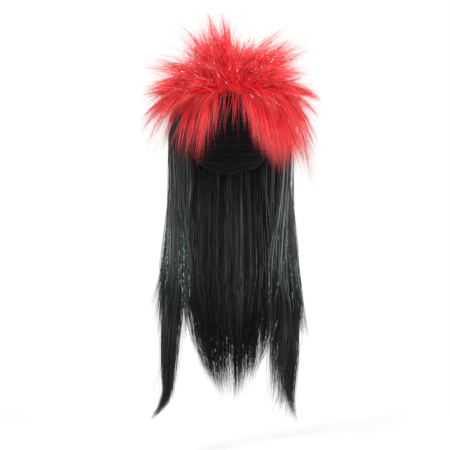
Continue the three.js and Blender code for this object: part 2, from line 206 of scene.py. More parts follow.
# %% Places on the cap
HALF_WIDTH = 77 * MM
HALF_DEPTH = 96 * MM
TOP = 94 * MM
UNDER = 120 * MM
CAP_CENTRE = np.array([0, 0, -TOP])
CAP_WALL = 1.2 * MM
HAIR_SEAT = 1.6 * MM
SHORTEST = 1e-12


def unit(vectors):
    return vectors / np.maximum(np.linalg.norm(vectors, axis=-1, keepdims=True), SHORTEST)


def cap_normal(azimuth, polar):
    """Places on the egg, seen from its centre, and the ways straight out of it."""
    turn, lean = np.radians(azimuth), np.radians(polar)
    flat = np.sin(lean)
    way = np.stack(np.broadcast_arrays(flat * np.sin(turn), -flat * np.cos(turn), np.cos(lean)), -1)
    half = np.empty_like(way)
    half[..., 0], half[..., 1] = HALF_WIDTH, HALF_DEPTH
    half[..., 2] = np.where(np.cos(lean) > 0, TOP, UNDER)
    return way * half, unit(way / half)


def cap_point(azimuth, polar, out=0.0):
    place, normal = cap_normal(azimuth, polar)
    return CAP_CENTRE + place + normal * np.asarray(out, float)[..., None]


print("crown point of the cap:", cap_point(0.0, 0.0))

# %% [markdown]
# ## Meshes from arrays
# A strand of hair is a long, thin, tapering rod. Curve objects with a bevel would do for a few, but ten
# thousand of them are slow. Here all strands of a panel become one mesh in one step, from arrays of
# points and faces.

# %% One mesh from arrays of faces
STRAND_MAP = "OFBake"


def mesh_piece(name, points, quads, triangles, quad_map=None, triangle_map=None):
    mesh = bpy.data.meshes.new(name)
    loops = np.concatenate([quads.ravel(), triangles.ravel()]).astype(np.int32)
    sizes = np.concatenate([np.full(len(quads), 4), np.full(len(triangles), 3)])
    mesh.vertices.add(len(points))
    mesh.vertices.foreach_set("co", points.astype(np.float32).ravel())
    mesh.loops.add(len(loops))
    mesh.loops.foreach_set("vertex_index", loops)
    mesh.polygons.add(len(sizes))
    starts = np.concatenate([[0], np.cumsum(sizes)[:-1]])
    mesh.polygons.foreach_set("loop_start", starts.astype(np.int32))
    mesh.polygons.foreach_set("use_smooth", np.ones(len(sizes), bool))
    mesh.update(calc_edges=True)
    if quad_map is not None:
        layer = mesh.uv_layers.new(name=STRAND_MAP)
        places = np.concatenate([quad_map.reshape(-1, 2), triangle_map.reshape(-1, 2)])
        layer.data.foreach_set("uv", places.astype(np.float32).ravel())
    piece = bpy.data.objects.new(name, mesh)
    bpy.context.scene.collection.objects.link(piece)
    return piece


print("strands are mapped on", STRAND_MAP)

# %% [markdown]
# A strand is a row of small rings that ends in a tip. Its faces are the same for every strand, so they
# are worked out once. The map puts each strand's own tone across and its root-to-tip place upwards, so a
# material can colour every strand by where it lies on the map.

# %% Faces and map of one strand
STRAND_SIDES = 3
SAMPLE_STATIONS = 6
ROOT_MAP = [[0, 0], [1, 0], [0.5, 0.01]]


def sweep_faces(stations, sides):
    side = np.arange(sides)
    after = (side + 1) % sides
    ring = (np.arange(stations - 2) * sides)[:, None]
    quads = np.stack([ring + side, ring + after, ring + sides + after, ring + sides + side], -1)
    last = (stations - 2) * sides
    tip = np.stack([last + side, last + after, np.full(sides, last + sides)], -1)
    root = np.stack([np.zeros(sides - 2, int), side[2:], side[1:-1]], -1)
    return quads.reshape(-1, 4), np.concatenate([tip, root])


def sweep_map(stops, sides):
    side = np.arange(sides) / sides
    after = side + 1 / sides
    low, high = (level[:, None] + 0 * side for level in (stops[:-2], stops[1:-1]))
    across = np.stack(np.broadcast_arrays(side, after, after, side), -1)
    upwards = np.stack([low, low, high, high], -1)
    quads = np.stack([np.broadcast_to(across, low.shape + (4,)), upwards], -1)
    tip_across = np.stack([side, after, (side + after) / 2], -1)
    tip = np.stack([tip_across, np.tile([stops[-2], stops[-2], 1], (sides, 1))], -1)
    root = np.tile(ROOT_MAP, (sides - 2, 1, 1))
    return quads.reshape(-1, 4, 2), np.concatenate([tip, root])


def even_stops(stations):
    return np.linspace(0, 1, stations)


sample = sweep_faces(SAMPLE_STATIONS, STRAND_SIDES)
print("a strand with", SAMPLE_STATIONS, "stations has quads and triangles:", [len(part) for part in sample])

# %% Sections swept along many lines at once
MAP_EDGE = 0.02
MAP_STRIP = 0.03


def sweep(name, lines, across, depth, half_wide, half_thick, sides=STRAND_SIDES, tone=None, stops=None):
    count, stations = lines.shape[:2]
    turn = np.arange(sides) * 2 * math.pi / sides
    every = np.ones((count, stations))
    wide, thick = ((half * every)[:, :-1, None, None] for half in (half_wide, half_thick))
    ring = lines[:, :-1, None] + wide * (np.cos(turn)[:, None] * across[:, :-1, None])
    ring = ring + thick * (np.sin(turn)[:, None] * depth[:, :-1, None])
    points = np.concatenate([ring.reshape(count, -1, 3), lines[:, -1:]], 1)
    quads, triangles = sweep_faces(stations, sides)
    start = (np.arange(count) * points.shape[1])[:, None, None]
    maps = [None, None]
    if tone is not None:
        left = MAP_EDGE + tone * (1 - 2 * MAP_EDGE - MAP_STRIP)
        strip = np.array([MAP_STRIP, 1])
        shift = np.stack([left, np.zeros(count)], -1)[:, None, None]
        maps = [shift + one * strip for one in sweep_map(stops, sides)]
    return mesh_piece(name, points.reshape(-1, 3), (start + quads).reshape(-1, 4),
                      (start + triangles).reshape(-1, 3), *maps)


print("each strand takes", MAP_STRIP, "of the map's width")

# %% [markdown]
# A strand has no front or back, so its section starts at a random turn. All random numbers for the hair
# come from one generator with a fixed start, so every run lays the same hair.

# %% Strands with tapering tips
HAIR_SEED = 61
TIP_TAPER = 0.8
TAPER_POWER = 2
RANDOM = np.random.default_rng(HAIR_SEED)


def strand_frames(lines):
    along = unit(np.gradient(lines, axis=1))
    loose = RANDOM.normal(size=(len(lines), 1, 3))
    across = unit(loose - (loose * along).sum(-1, keepdims=True) * along)
    return across, np.cross(along, across)


def strands(name, lines, radius, tone, stops, taper_power=TAPER_POWER, map_top=1.0):
    across, depth = strand_frames(lines)
    half = np.asarray(radius)[:, None] * (1 - TIP_TAPER * stops ** taper_power)
    return sweep(name, lines, across, depth, half, half, tone=tone, stops=stops * map_top)


print("a strand keeps", round(1 - TIP_TAPER, 2), "of its width at the tip")

# %% [markdown]
# ## Finishes
# A finish is a graph of nodes. A few helpers keep the graphs short. One starts a group with named inputs
# and outputs, one places a node and links or sets its inputs, and the others do sums, blends and soft
# steps.

# %% Node helpers
COLOUR, NUMBER = "NodeSocketColor", "NodeSocketFloat"
BLACK = (0, 0, 0, 1)


def new_group(name, inputs, outputs):
    group = bpy.data.node_groups.new(name, "ShaderNodeTree")
    for title, kind, value in inputs:
        socket = group.interface.new_socket(title, in_out="INPUT", socket_type=kind)
        socket.default_value = value
    for title, kind in outputs:
        group.interface.new_socket(title, in_out="OUTPUT", socket_type=kind)
    print("group", name, "takes", [title for title, kind, value in inputs])
    return group, group.nodes.new("NodeGroupInput"), group.nodes.new("NodeGroupOutput")


def feed(tree, socket, value):
    if isinstance(value, bpy.types.NodeSocket):
        tree.links.new(value, socket)
    else:
        socket.default_value = value


def put(tree, kind, values=None, **settings):
    node = tree.nodes.new(kind)
    for key, value in settings.items():
        setattr(node, key, value)
    for key, value in (values or {}).items():
        feed(tree, node.inputs[key], value)
    return node


def sums(tree, operation, *values):
    return put(tree, "ShaderNodeMath", dict(enumerate(values)), operation=operation).outputs[0]


def blend_colours(tree, share, first, second, way="MIX"):
    node = put(tree, "ShaderNodeMix", data_type="RGBA", blend_type=way)
    sockets = [node.inputs["Factor"], node.inputs[6], node.inputs[7]]
    for socket, value in zip(sockets, [share, first, second]):
        feed(tree, socket, value)
    return node.outputs[2]


def smooth_share(tree, value, low, high):
    limits = {"Value": value, "From Min": low, "From Max": high}
    return put(tree, "ShaderNodeMapRange", limits, interpolation_type="SMOOTHSTEP").outputs["Result"]


def map_place(tree, map_name):
    place = put(tree, "ShaderNodeUVMap", uv_map=map_name)
    parts = put(tree, "ShaderNodeSeparateXYZ", {"Vector": place.outputs["UV"]})
    return parts.outputs["X"], parts.outputs["Y"]


# %% [markdown]
# Every finish is a plain shader whose colour comes from one group. Cloth and dense hair also take a bump
# from it. Building each graph by hand would repeat the same lines, so one function does it. What is the
# same all over a surface, such as its gloss, is set on the shader itself.

# %% A material round a group
def group_material(name, plain, roughness, group, colours, numbers, sockets, bump=None):
    material = plain_material(name, plain, roughness)
    tree = material.node_tree
    shader = tree.nodes["Principled BSDF"]
    for title, value in sockets.items():
        shader.inputs[title].default_value = value
    pattern = put(tree, "ShaderNodeGroup", node_tree=group)
    for title, value in colours.items():
        pattern.inputs[title].default_value = (*value, 1)
    for title, value in numbers.items():
        pattern.inputs[title].default_value = value
    tree.links.new(pattern.outputs["Color"], shader.inputs["Base Color"])
    if bump:
        raised = put(tree, "ShaderNodeBump", {"Height": pattern.outputs["Height"], **bump})
        tree.links.new(raised.outputs["Normal"], shader.inputs["Normal"])
    print("finish", name, "uses", group.name)
    return material


# %% [markdown]
# Synthetic hair is a smooth, slightly glossy plastic thread, and no two threads have quite the same colour.
# One group reads the strand's place on its map and mixes three colours from root to tip; these carry
# painted shade and painted light, as the next cell tells for each hair colour. It lightens or darkens each
# strand by its tone, and gives a pale painted sheen, a painted highlight, to the few with the highest tones.
# Both hair colours use it.

# %% Group that colours a strand from its map
ROOT_TO_MIDDLE = (0.05, 0.5)
SHEEN_RISE = (0.05, 0.3)
MIDDLE_TONE = 0.5


def make_fibre_group():
    group, given, made = new_group(
        "fibre_colour",
        [("Root", COLOUR, BLACK), ("Middle", COLOUR, BLACK), ("Tip", COLOUR, BLACK), ("Sheen", COLOUR, BLACK),
         ("Spread", NUMBER, 0.3), ("Rare", NUMBER, 0.8), ("Tip From", NUMBER, 0.5), ("Tip To", NUMBER, 1.0),
         ("Sheen Fade", NUMBER, 0.0)],
        [("Color", COLOUR)])
    tone, along = map_place(group, STRAND_MAP)
    # root, middle and tip colours: painted shade and painted light along the strand
    middle_share = smooth_share(group, along, *ROOT_TO_MIDDLE)
    lower = blend_colours(group, middle_share, given.outputs["Root"], given.outputs["Middle"])
    tip_share = smooth_share(group, along, given.outputs["Tip From"], given.outputs["Tip To"])
    whole = blend_colours(group, tip_share, lower, given.outputs["Tip"])
    swing = sums(group, "MULTIPLY", sums(group, "SUBTRACT", tone, MIDDLE_TONE), given.outputs["Spread"])
    gain = sums(group, "ADD", 1.0, sums(group, "MULTIPLY", 2.0, swing))
    shade = put(group, "ShaderNodeCombineColor", {"Red": gain, "Green": gain, "Blue": gain})
    toned = blend_colours(group, 1.0, whole, shade.outputs["Color"], "MULTIPLY")
    # painted sheen: the highest tones turn towards the Sheen colour, less so at the tips by Sheen Fade
    rare = smooth_share(group, tone, given.outputs["Rare"], 1.0)
    kept = sums(group, "SUBTRACT", 1.0, sums(group, "MULTIPLY", tip_share, given.outputs["Sheen Fade"]))
    rise = smooth_share(group, along, *SHEEN_RISE)
    shown = sums(group, "MULTIPLY", sums(group, "MULTIPLY", rare, kept), rise)
    group.links.new(blend_colours(group, shown, toned, given.outputs["Sheen"]), made.inputs["Color"])
    return group


FIBRE_GROUP = make_fibre_group()

# %% [markdown]
# The red is a strong scarlet. Its darker roots are painted shade deep in the fur, and its paler tips are
# painted light, for the light that the thin ends let through. The black is neutral and glossier; its grey
# middle is painted sheen, its streaks are partly uneven tone and partly painted sheen, and it is dark again
# at its ends, where the sheen fades. Two separate graphs would drift apart, so both are the same group
# with colours and numbers of their own.

# %% Red and black strands
# Root: painted shade. Tip: painted light. Sheen: painted highlight on the palest strands.
RED_COLOURS = {"Root": (0.64, 0.006, 0.016), "Middle": (0.84, 0.014, 0.026), "Tip": (0.97, 0.13, 0.135),
               "Sheen": (0.97, 0.19, 0.19)}
RED_NUMBERS = {"Spread": 0.15, "Rare": 0.86}
RED_ROUGH = 0.55
RED_SHINE = {"Specular IOR Level": 0.12}
# Middle and Sheen: painted sheen; the ends are dark again, and Sheen Fade takes the sheen off them
BLACK_COLOURS = {"Root": (0.0090, 0.0092, 0.0096), "Middle": (0.048, 0.051, 0.052),
                 "Tip": (0.0050, 0.0052, 0.0056), "Sheen": (0.34, 0.36, 0.365)}
BLACK_NUMBERS = {"Spread": 0.95, "Rare": 0.68, "Tip From": 0.56, "Tip To": 0.86, "Sheen Fade": 0.85}
BLACK_ROUGH = 0.33
BLACK_SHINE = {"Specular IOR Level": 0.45}


def fibre_material(name, colours, numbers, roughness, shine):
    return group_material(name, colours["Middle"], roughness, FIBRE_GROUP, colours, numbers, shine)


RED_STRANDS = fibre_material("red_strands", RED_COLOURS, RED_NUMBERS, RED_ROUGH, RED_SHINE)
BLACK_STRANDS = fibre_material("black_strands", BLACK_COLOURS, BLACK_NUMBERS, BLACK_ROUGH, BLACK_SHINE)

# %% [markdown]
# Under the loose strands, dense hair is a soft mass with streaks in it. It needs no strands of its own,
# only streaks that run along it. Noise that is squeezed sideways and stretched along the hair gives them,
# as colour and as bump. Its colours are darker than the strands': painted shade of the hair deep under them.

# %% Group that streaks a dense mass
STREAK_DETAIL = 3.0
STREAK_LIMITS = (0.3, 0.7)


def make_streak_group():
    group, given, made = new_group(
        "fibre_streaks",
        [("Across", NUMBER, 900.0), ("Along", NUMBER, 12.0), ("Dark", COLOUR, BLACK),
         ("Light", COLOUR, BLACK)],
        [("Color", COLOUR), ("Height", NUMBER)])
    place = put(group, "ShaderNodeTexCoord").outputs["Object"]
    across, along = given.outputs["Across"], given.outputs["Along"]
    stretch = put(group, "ShaderNodeCombineXYZ", {"X": across, "Y": across, "Z": along}).outputs[0]
    squeezed = put(group, "ShaderNodeVectorMath", {0: place, 1: stretch}, operation="MULTIPLY").outputs[0]
    noise = put(group, "ShaderNodeTexNoise", {"Vector": squeezed, "Scale": 1.0, "Detail": STREAK_DETAIL})
    share = smooth_share(group, noise.outputs["Fac"], *STREAK_LIMITS)
    streaked = blend_colours(group, share, given.outputs["Dark"], given.outputs["Light"])
    group.links.new(streaked, made.inputs["Color"])
    group.links.new(noise.outputs["Fac"], made.inputs["Height"])
    return group


STREAK_GROUP = make_streak_group()

# %% Dense red and black
DENSE_SHINE = {"Specular IOR Level": 0.15}
DENSE_BUMP = {"Strength": 0.8, "Distance": 1.5 * MM}


def dense_material(name, dark, light, across, along, roughness):
    colours, numbers = {"Dark": dark, "Light": light}, {"Across": across, "Along": along}
    return group_material(name, light, roughness, STREAK_GROUP, colours, numbers, DENSE_SHINE, DENSE_BUMP)


# both dense finishes are darker than their strands: painted shade deep in the hair
BLACK_DENSE = dense_material("black_dense", dark=(0.003, 0.003, 0.0035), light=(0.010, 0.011, 0.0115),
                             across=700, along=9, roughness=0.5)
RED_DENSE = dense_material("red_dense", dark=(0.36, 0.003, 0.010), light=(0.66, 0.008, 0.020),
                           across=420, along=420, roughness=0.75)


# %% [markdown]
# Each piece gets its finish and rides on the part's one body. Where it dresses a solid, it takes that
# solid's place. One function does all of that and counts the triangles, so that nothing is forgotten.

# %% Give a piece its finish and its place in the part
def dress(piece, material, slot, *nodes):
    piece.data.materials.append(material)
    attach(piece, "root")
    if nodes:
        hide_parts(*nodes)
    print(piece.name, "has", sum(len(p.vertices) - 2 for p in piece.data.polygons), "triangles")
    return piece


# %% [markdown]
# ## The cap
# The cap is stretch net, a thin closed wall. A sphere could be cut and bent to it, but the cap's edge
# rises and falls all round, so the wall is laid ring by ring on the egg, out over the crown and back on
# the inside.

# %% A closed dome on the cap's egg
CAP_TURNS = 96
CAP_ROWS = 40


def dome(name, edge, outer, inner, turns, rows):
    azimuth = np.arange(turns) * 360 / turns
    share = (np.arange(rows) + 1) / rows
    polar = edge_at(azimuth, edge)[None] * share[:, None]
    faces = [cap_point(azimuth[None], polar, face(azimuth[None], share[:, None])) for face in (outer, inner)]
    rings = np.concatenate([faces[0], faces[1][::-1]]).reshape(-1, 3)
    tops = np.stack([cap_point(0.0, 0.0, face(0.0, 0.0)) for face in (outer, inner)])
    side = np.arange(turns)
    after = (side + 1) % turns
    ring = (np.arange(2 * rows - 1) * turns)[:, None]
    quads = np.stack([ring + side, ring + turns + side, ring + turns + after, ring + after], -1)
    last, top = (2 * rows - 1) * turns, 2 * rows * turns
    crown = np.stack([np.full(turns, top), side, after], -1)
    under = np.stack([np.full(turns, top + 1), last + after, last + side], -1)
    points = np.concatenate([rings, tops])
    return mesh_piece(name, points, quads.reshape(-1, 4), np.concatenate([crown, under]))


def even_height(height):
    return lambda azimuth, share: height + 0 * (azimuth + share)


cap = dome("wig_cap_net", CAP_EDGE, even_height(CAP_WALL), even_height(0), CAP_TURNS, CAP_ROWS)
print("cap has", len(cap.data.vertices), "points")

# %% [markdown]
# The net is a fine diamond weave, far too fine for geometry over the whole cap, so it is a pattern: two
# sets of slanting threads on a map that is measured in metres along the cap. The tape at the edge has the
# same threads at other steps, so both use one group.

# %% Map for cloth
CLOTH_MAP = "cloth"


def add_cloth_map(piece):
    """A map in metres: round the cap at the widest level, and down from the crown point."""
    points = np.empty(len(piece.data.vertices) * 3, np.float32)
    piece.data.vertices.foreach_get("co", points)
    way = points.reshape(-1, 3) - CAP_CENTRE
    turn = np.arctan2(way[:, 0], -way[:, 1])
    drop = np.arccos(np.clip(unit(way)[:, 2], -1, 1)) * TOP
    corner = np.empty(len(piece.data.loops), np.int32)
    piece.data.loops.foreach_get("vertex_index", corner)
    sizes = np.array([len(face.vertices) for face in piece.data.polygons])
    first = np.concatenate([[0], np.cumsum(sizes)[:-1]])
    turn_here = turn[corner]
    farthest = np.repeat(np.maximum.reduceat(turn_here, first), sizes)
    turn_here = turn_here + np.where(farthest - turn_here > math.pi, 2 * math.pi, 0)
    places = np.stack([turn_here * HALF_WIDTH, drop[corner]], -1)
    layer = piece.data.uv_layers.new(name=CLOTH_MAP)
    layer.data.foreach_set("uv", places.astype(np.float32).ravel())
    print(piece.name, "is mapped on", CLOTH_MAP)


add_cloth_map(cap)

# %% Group for crossed threads
THREAD_POWER = 6.0


def make_thread_group():
    group, given, made = new_group(
        "crossed_threads",
        [("Round", NUMBER, 0.002), ("Down", NUMBER, 0.002), ("Hole Shade", COLOUR, BLACK),
         ("Thread", COLOUR, BLACK)],
        [("Color", COLOUR), ("Height", NUMBER)])
    across, down = map_place(group, CLOTH_MAP)
    turn = sums(group, "DIVIDE", sums(group, "MULTIPLY", across, math.pi), given.outputs["Round"])
    drop = sums(group, "DIVIDE", sums(group, "MULTIPLY", down, math.pi), given.outputs["Down"])
    one, two = (sums(group, "ABSOLUTE", sums(group, "COSINE", sums(group, way, turn, drop)))
                for way in ("ADD", "SUBTRACT"))
    height = sums(group, "POWER", sums(group, "MAXIMUM", one, two), THREAD_POWER)
    # the colour between the threads is painted shade in the holes and grooves
    woven = blend_colours(group, height, given.outputs["Hole Shade"], given.outputs["Thread"])
    group.links.new(woven, made.inputs["Color"])
    group.links.new(height, made.inputs["Height"])
    return group


THREAD_GROUP = make_thread_group()

# %% [markdown]
# Both cloths are dull and nearly black. The net's threads cross in small diamonds. The tape's steps are
# short round the edge and long down it, so its threads stand up as ribs. Real holes would need far more
# faces than the cap is worth, so a bump stands for them, and a darker colour paints the shade in the holes
# and in the grooves between the ribs.

# %% Net and tape
CLOTH_ROUGH = 0.8
CLOTH_BUMP = {"Strength": 0.9, "Distance": 0.5 * MM}
NET_STEP = 2.4 * MM
RIB_STEP = 1.3 * MM
RIB_LENGTH = 40 * MM


def cloth_material(name, hole_shade, thread, round_step, down_step):
    colours, numbers = {"Hole Shade": hole_shade, "Thread": thread}, {"Round": round_step, "Down": down_step}
    return group_material(name, thread, CLOTH_ROUGH, THREAD_GROUP, colours, numbers, {}, CLOTH_BUMP)


CAP_NET = cloth_material("cap_net", hole_shade=(0.004, 0.004, 0.005), thread=(0.035, 0.035, 0.038),
                         round_step=NET_STEP, down_step=NET_STEP)
EDGE_TAPE = cloth_material("edge_tape", hole_shade=(0.012, 0.010, 0.011), thread=(0.055, 0.046, 0.05),
                           round_step=RIB_STEP, down_step=RIB_LENGTH)
dress(cap, CAP_NET, "cap_net", "wig_cap")

# %% [markdown]
# Rows of hair, called wefts, are sewn round the inside of the cap, and they show from below and through
# the front opening. They stand proud of the net, so a pattern would look flat, and they are real strips.

# %% Wefts sewn round the inside of the cap
WEFT_FIRST = 30.0
WEFT_LAST = 111.0
WEFT_STEP = 8.0
WEFT_INSET = 3
WEFT_HALF = 2.0 * MM
WEFT_PROUD = 0.7 * MM
WEFT_START = 78.0
WEFT_STATIONS = 40
WEFT_SIDES = 6


def weft_rows():
    for polar in np.arange(WEFT_FIRST, WEFT_LAST, WEFT_STEP):
        azimuth = np.linspace(WEFT_START, 360 - WEFT_START, WEFT_STATIONS)
        level = np.minimum(polar, edge_at(azimuth, CAP_EDGE) - WEFT_INSET)
        yield cap_point(azimuth, level), cap_normal(azimuth, level)[1]


weft_lines, weft_out = (np.stack(part) for part in zip(*weft_rows()))
weft_down = np.cross(unit(np.gradient(weft_lines, axis=1)), weft_out)
wefts = sweep("wig_cap_wefts", weft_lines, weft_down, weft_out, WEFT_HALF, WEFT_PROUD, sides=WEFT_SIDES)
add_cloth_map(wefts)
dress(wefts, EDGE_TAPE, "cap_net")

# %% [markdown]
# The cap's edge is bound with a flat elastic tape. A bevelled curve would not stay flat on the egg, so
# the tape is laid on it from the same edge table. Its section is rounded, so that it catches the light as
# folded cloth does, and it has fine upright ribs.

# %% Edge band
BAND_WIDTH = 7 * MM
BAND_GAP = 0.6 * MM
BAND_TURNS = 160
BAND_SIDES = 12
BAND_INNER = -0.6 * MM
BAND_SQUARE = 0.45


def rounded(wave):
    return np.sign(wave) * np.abs(wave) ** BAND_SQUARE


def edge_band():
    azimuth = np.arange(BAND_TURNS) * 360 / BAND_TURNS
    middle = edge_at(azimuth, CAP_EDGE) + np.degrees((BAND_GAP + BAND_WIDTH / 2) / TOP)
    turn = np.arange(BAND_SIDES) * 2 * math.pi / BAND_SIDES
    polar = middle[:, None] + np.degrees(BAND_WIDTH / 2 / TOP) * rounded(np.cos(turn))
    out = (CAP_WALL + BAND_INNER) / 2 + rounded(np.sin(turn)) * (CAP_WALL - BAND_INNER) / 2
    points = cap_point(azimuth[:, None], polar, out + 0 * polar)
    side = np.arange(BAND_SIDES)
    after = (side + 1) % BAND_SIDES
    here = (np.arange(BAND_TURNS) * BAND_SIDES)[:, None]
    there = ((np.arange(BAND_TURNS) + 1) % BAND_TURNS * BAND_SIDES)[:, None]
    quads = np.stack([here + side, here + after, there + after, there + side], -1).reshape(-1, 4)
    return mesh_piece("edge_band_tape", points.reshape(-1, 3), quads, np.zeros((0, 3), int))


band = edge_band()
add_cloth_map(band)
dress(band, EDGE_TAPE, "edge_tape", "edge_band")

# %% [markdown]
# ## Long black hair
# Straight hair hangs in locks. Each lock leaves the cap at its sewn row, swells over the side of the cap
# and hangs through a middle and a low place to its tip. The tables hold those places in millimetres, one
# row a lock, the same rows that shape the solids.

# %% Tables of hanging locks
# azimuth, swell, middle x and y, low x and y, tip x, y and z
LEFT_LONG = [
    (-73, 9, -90, -28, -101, -30, -116, -33, -556),
    (-86, 9, -102, -12, -106, -22, -131, -30, -572),
    (-99, 9, -106, 8, -109, -8, -122, -20, -562),
    (-112, 9, -98, 27, -104, 6, -110, -4, -540),
]
RIGHT_LONG = [
    (73, 9, 78, -30, 58, -34, 44, -36, -544),
    (84, 9, 91, -17, 84, -24, 70, -28, -568),
    (95, 9, 101, 1, 96, -10, 92, -16, -577),
    (106, 9, 103, 19, 105, 6, 114, 0, -580),
    (116, 9, 94, 36, 99, 22, 98, 16, -556),
]
BACK_LONG = [
    (-130, 9, -76, 62, -58, 64, -44, 66, -478),
    (-150, 9, -50, 84, -40, 84, -30, 84, -520),
    (-170, 9, -17, 94, -14, 92, -10, 90, -546),
    (170, 9, 17, 94, 15, 92, 13, 90, -552),
    (150, 9, 50, 84, 41, 84, 34, 84, -526),
    (130, 9, 76, 62, 60, 64, 48, 66, -484),
]
LEFT_LAYER = [
    (-69, 20, -80, -46, -79, -48, -77, -49, -440),
    (-80, 20, -101, -39, -100, -42, -98, -43, -428),
    (-92, 20, -113, -19, -117, -23, -126, -28, -380),
    (-104, 20, -115, 6, -117, 1, -119, -4, -428),
]
RIGHT_LAYER = [
    (69, 20, 70, -47, 66, -49, 60, -51, -432),
    (80, 20, 91, -40, 91, -43, 88, -45, -448),
    (92, 20, 111, -20, 116, -24, 118, -28, -430),
    (104, 20, 115, 6, 119, 2, 121, -2, -438),
]
BACK_LAYER = [
    (-127, 21, -88, 68, -80, 70, -72, 72, -396),
    (-148, 21, -58, 96, -54, 97, -48, 99, -418),
    (-169, 21, -20, 109, -20, 109, -16, 111, -434),
    (169, 21, 20, 109, 21, 109, 20, 111, -430),
    (148, 21, 58, 96, 55, 97, 50, 99, -414),
    (127, 21, 88, 68, 81, 70, 74, 72, -392),
]
print("long locks:", len(LEFT_LONG + RIGHT_LONG + BACK_LONG))
print("layer locks:", len(LEFT_LAYER + RIGHT_LAYER + BACK_LAYER))

# %% [markdown]
# A panel is a row of locks with one width and thickness. Where the real hair does more than hang, its
# panel has a word for it: short locks end early, a flare flicks the tips outwards, and a bow swings a
# lock out half way down.

# %% Panels
BLACK_PANELS = [
    {"node": "black_left_long", "rows": LEFT_LONG, "root": 63, "wide": 33, "thick": 18, "strands": 1200},
    {"node": "black_right_long", "rows": RIGHT_LONG, "root": 63, "wide": 33, "thick": 18, "strands": 1300,
     "short": (0.34, 0.05, 0, 0, 0), "bow": (0, 2, 6, 10, 9)},
    {"node": "black_back_long", "rows": BACK_LONG, "root": 67, "wide": 46, "thick": 12, "strands": 1800},
    {"node": "black_left_layer", "rows": LEFT_LAYER, "root": 55, "wide": 33, "thick": 8, "strands": 950,
     "flare": 10},
    {"node": "black_right_layer", "rows": RIGHT_LAYER, "root": 55, "wide": 33, "thick": 8, "strands": 950,
     "flare": 14},
    {"node": "black_back_layer", "rows": BACK_LAYER, "root": 58, "wide": 56, "thick": 8, "strands": 1450},
]
HANGING_WIDE = [(0, 0.8), (0.16, 1), (0.6, 0.95), (0.84, 0.76), (1, 0.34)]
HANGING_THICK = [(0, 0.3), (0.16, 0.75), (0.6, 1.1), (0.84, 1.0), (1, 0.4)]
print("black strands to lay:", sum(panel["strands"] for panel in BLACK_PANELS))

# %% [markdown]
# A lock's line has to pass smoothly through all its places. A plain spline overshoots where two of them lie
# close together. One whose steps grow with the root of the distance does not, and its points are then
# spaced evenly.

# %% A smooth line through places
LINE_STEPS = 80
SPAN_STEPS = 24
KNOT_POWER = 0.5


def even_steps(line, count=LINE_STEPS):
    gone = np.concatenate([[0], np.cumsum(np.linalg.norm(np.diff(line, axis=0), axis=1))])
    stops = np.linspace(0, gone[-1], count)
    return np.stack([np.interp(stops, gone, line[:, axis]) for axis in range(3)], -1)


def smooth_line(places):
    points = np.array([2 * places[0] - places[1], *places, 2 * places[-1] - places[-2]])
    steps = np.linalg.norm(np.diff(points, axis=0), axis=1)
    knots = np.concatenate([[0], np.cumsum(steps ** KNOT_POWER)])

    def slide(t, i, j, first, second):
        return ((knots[j] - t) * first + (t - knots[i]) * second) / (knots[j] - knots[i])

    spans = []
    for i in range(len(points) - 3):
        t = np.linspace(knots[i + 1], knots[i + 2], SPAN_STEPS)[:, None]
        near = [slide(t, i + k, i + k + 1, points[i + k], points[i + k + 1]) for k in range(3)]
        half = [slide(t, i + k, i + k + 2, near[k], near[k + 1]) for k in range(2)]
        spans.append(slide(t, i + 1, i + 2, half[0], half[1]))
    return even_steps(np.concatenate(spans))


print("a lock's line has", LINE_STEPS, "points")

# %% [markdown]
# A lock is a flat bundle with its broad side facing outwards, widest below its root and narrow at its
# tip. A tube would look like rope. So a width and a thickness ride along the line, with the ways that
# they point in, and later steps fill that section with hair.

# %% A lock round its line
SWELL_POLAR = 84
FALL_LEVEL = -205
FALL_SHARE = 0.12
MIDDLE_LEVEL = -330
LOW_SHARE = 0.7
ROOT_SEAT = 2 * MM
BOW_LEVEL = -405
BOW_HALF = 75
TIP_REACH = np.array([1.35, 1.1, 1.06])
TIP_TURN = np.array([0.14, 0.4, 0.66])


def hanging_line(row, panel, bow):
    azimuth, swell, mid_x, mid_y, low_x, low_y, tip_x, tip_y, tip_z = row
    swollen = cap_point(float(azimuth), SWELL_POLAR, swell * MM)
    middle = np.array([mid_x, mid_y, MIDDLE_LEVEL]) * MM
    fall = swollen + (middle - swollen) * FALL_SHARE
    fall[2] = FALL_LEVEL * MM
    low = np.array([low_x, low_y, MIDDLE_LEVEL + (tip_z - MIDDLE_LEVEL) * LOW_SHARE]) * MM
    tip = low + (np.array([tip_x, tip_y, tip_z]) * MM - low) * TIP_REACH
    tip[:2] += unit(low[:2]) * panel.get("flare", 0) * MM
    turn = low + (tip - low) * TIP_TURN
    root = cap_point(float(azimuth), panel["root"], HAIR_SEAT + ROOT_SEAT)
    line = smooth_line([root, swollen, fall, middle, low, turn, tip])
    bell = np.exp(-((line[:, 2] / MM - BOW_LEVEL) / BOW_HALF) ** 2)
    line[:, 0] += np.sign(low_x) * bow * MM * bell
    return line


def hanging_lock(row, panel, bow):
    line = hanging_line(row, panel, bow)
    share = np.linspace(0, 1, len(line))
    along = unit(np.gradient(line, axis=0))
    sideways = np.stack([-line[:, 1], line[:, 0], np.zeros(len(line))], -1)
    depth = unit(np.cross(sideways, along))
    return {"line": line, "across": np.cross(along, depth), "depth": depth,
            "wide": panel["wide"] * MM * smooth_read(share, HANGING_WIDE) / 2,
            "thick": panel["thick"] * MM * smooth_read(share, HANGING_THICK) / 2}


def panel_of(row):
    bows = row.get("bow", np.zeros(len(row["rows"])))
    locks = [hanging_lock(place, row, bow) for place, bow in zip(row["rows"], bows)]
    panel = {key: np.stack([one[key] for one in locks]) for key in locks[0]}
    panel["short"] = np.array(row.get("short", np.zeros(len(locks))))
    return panel


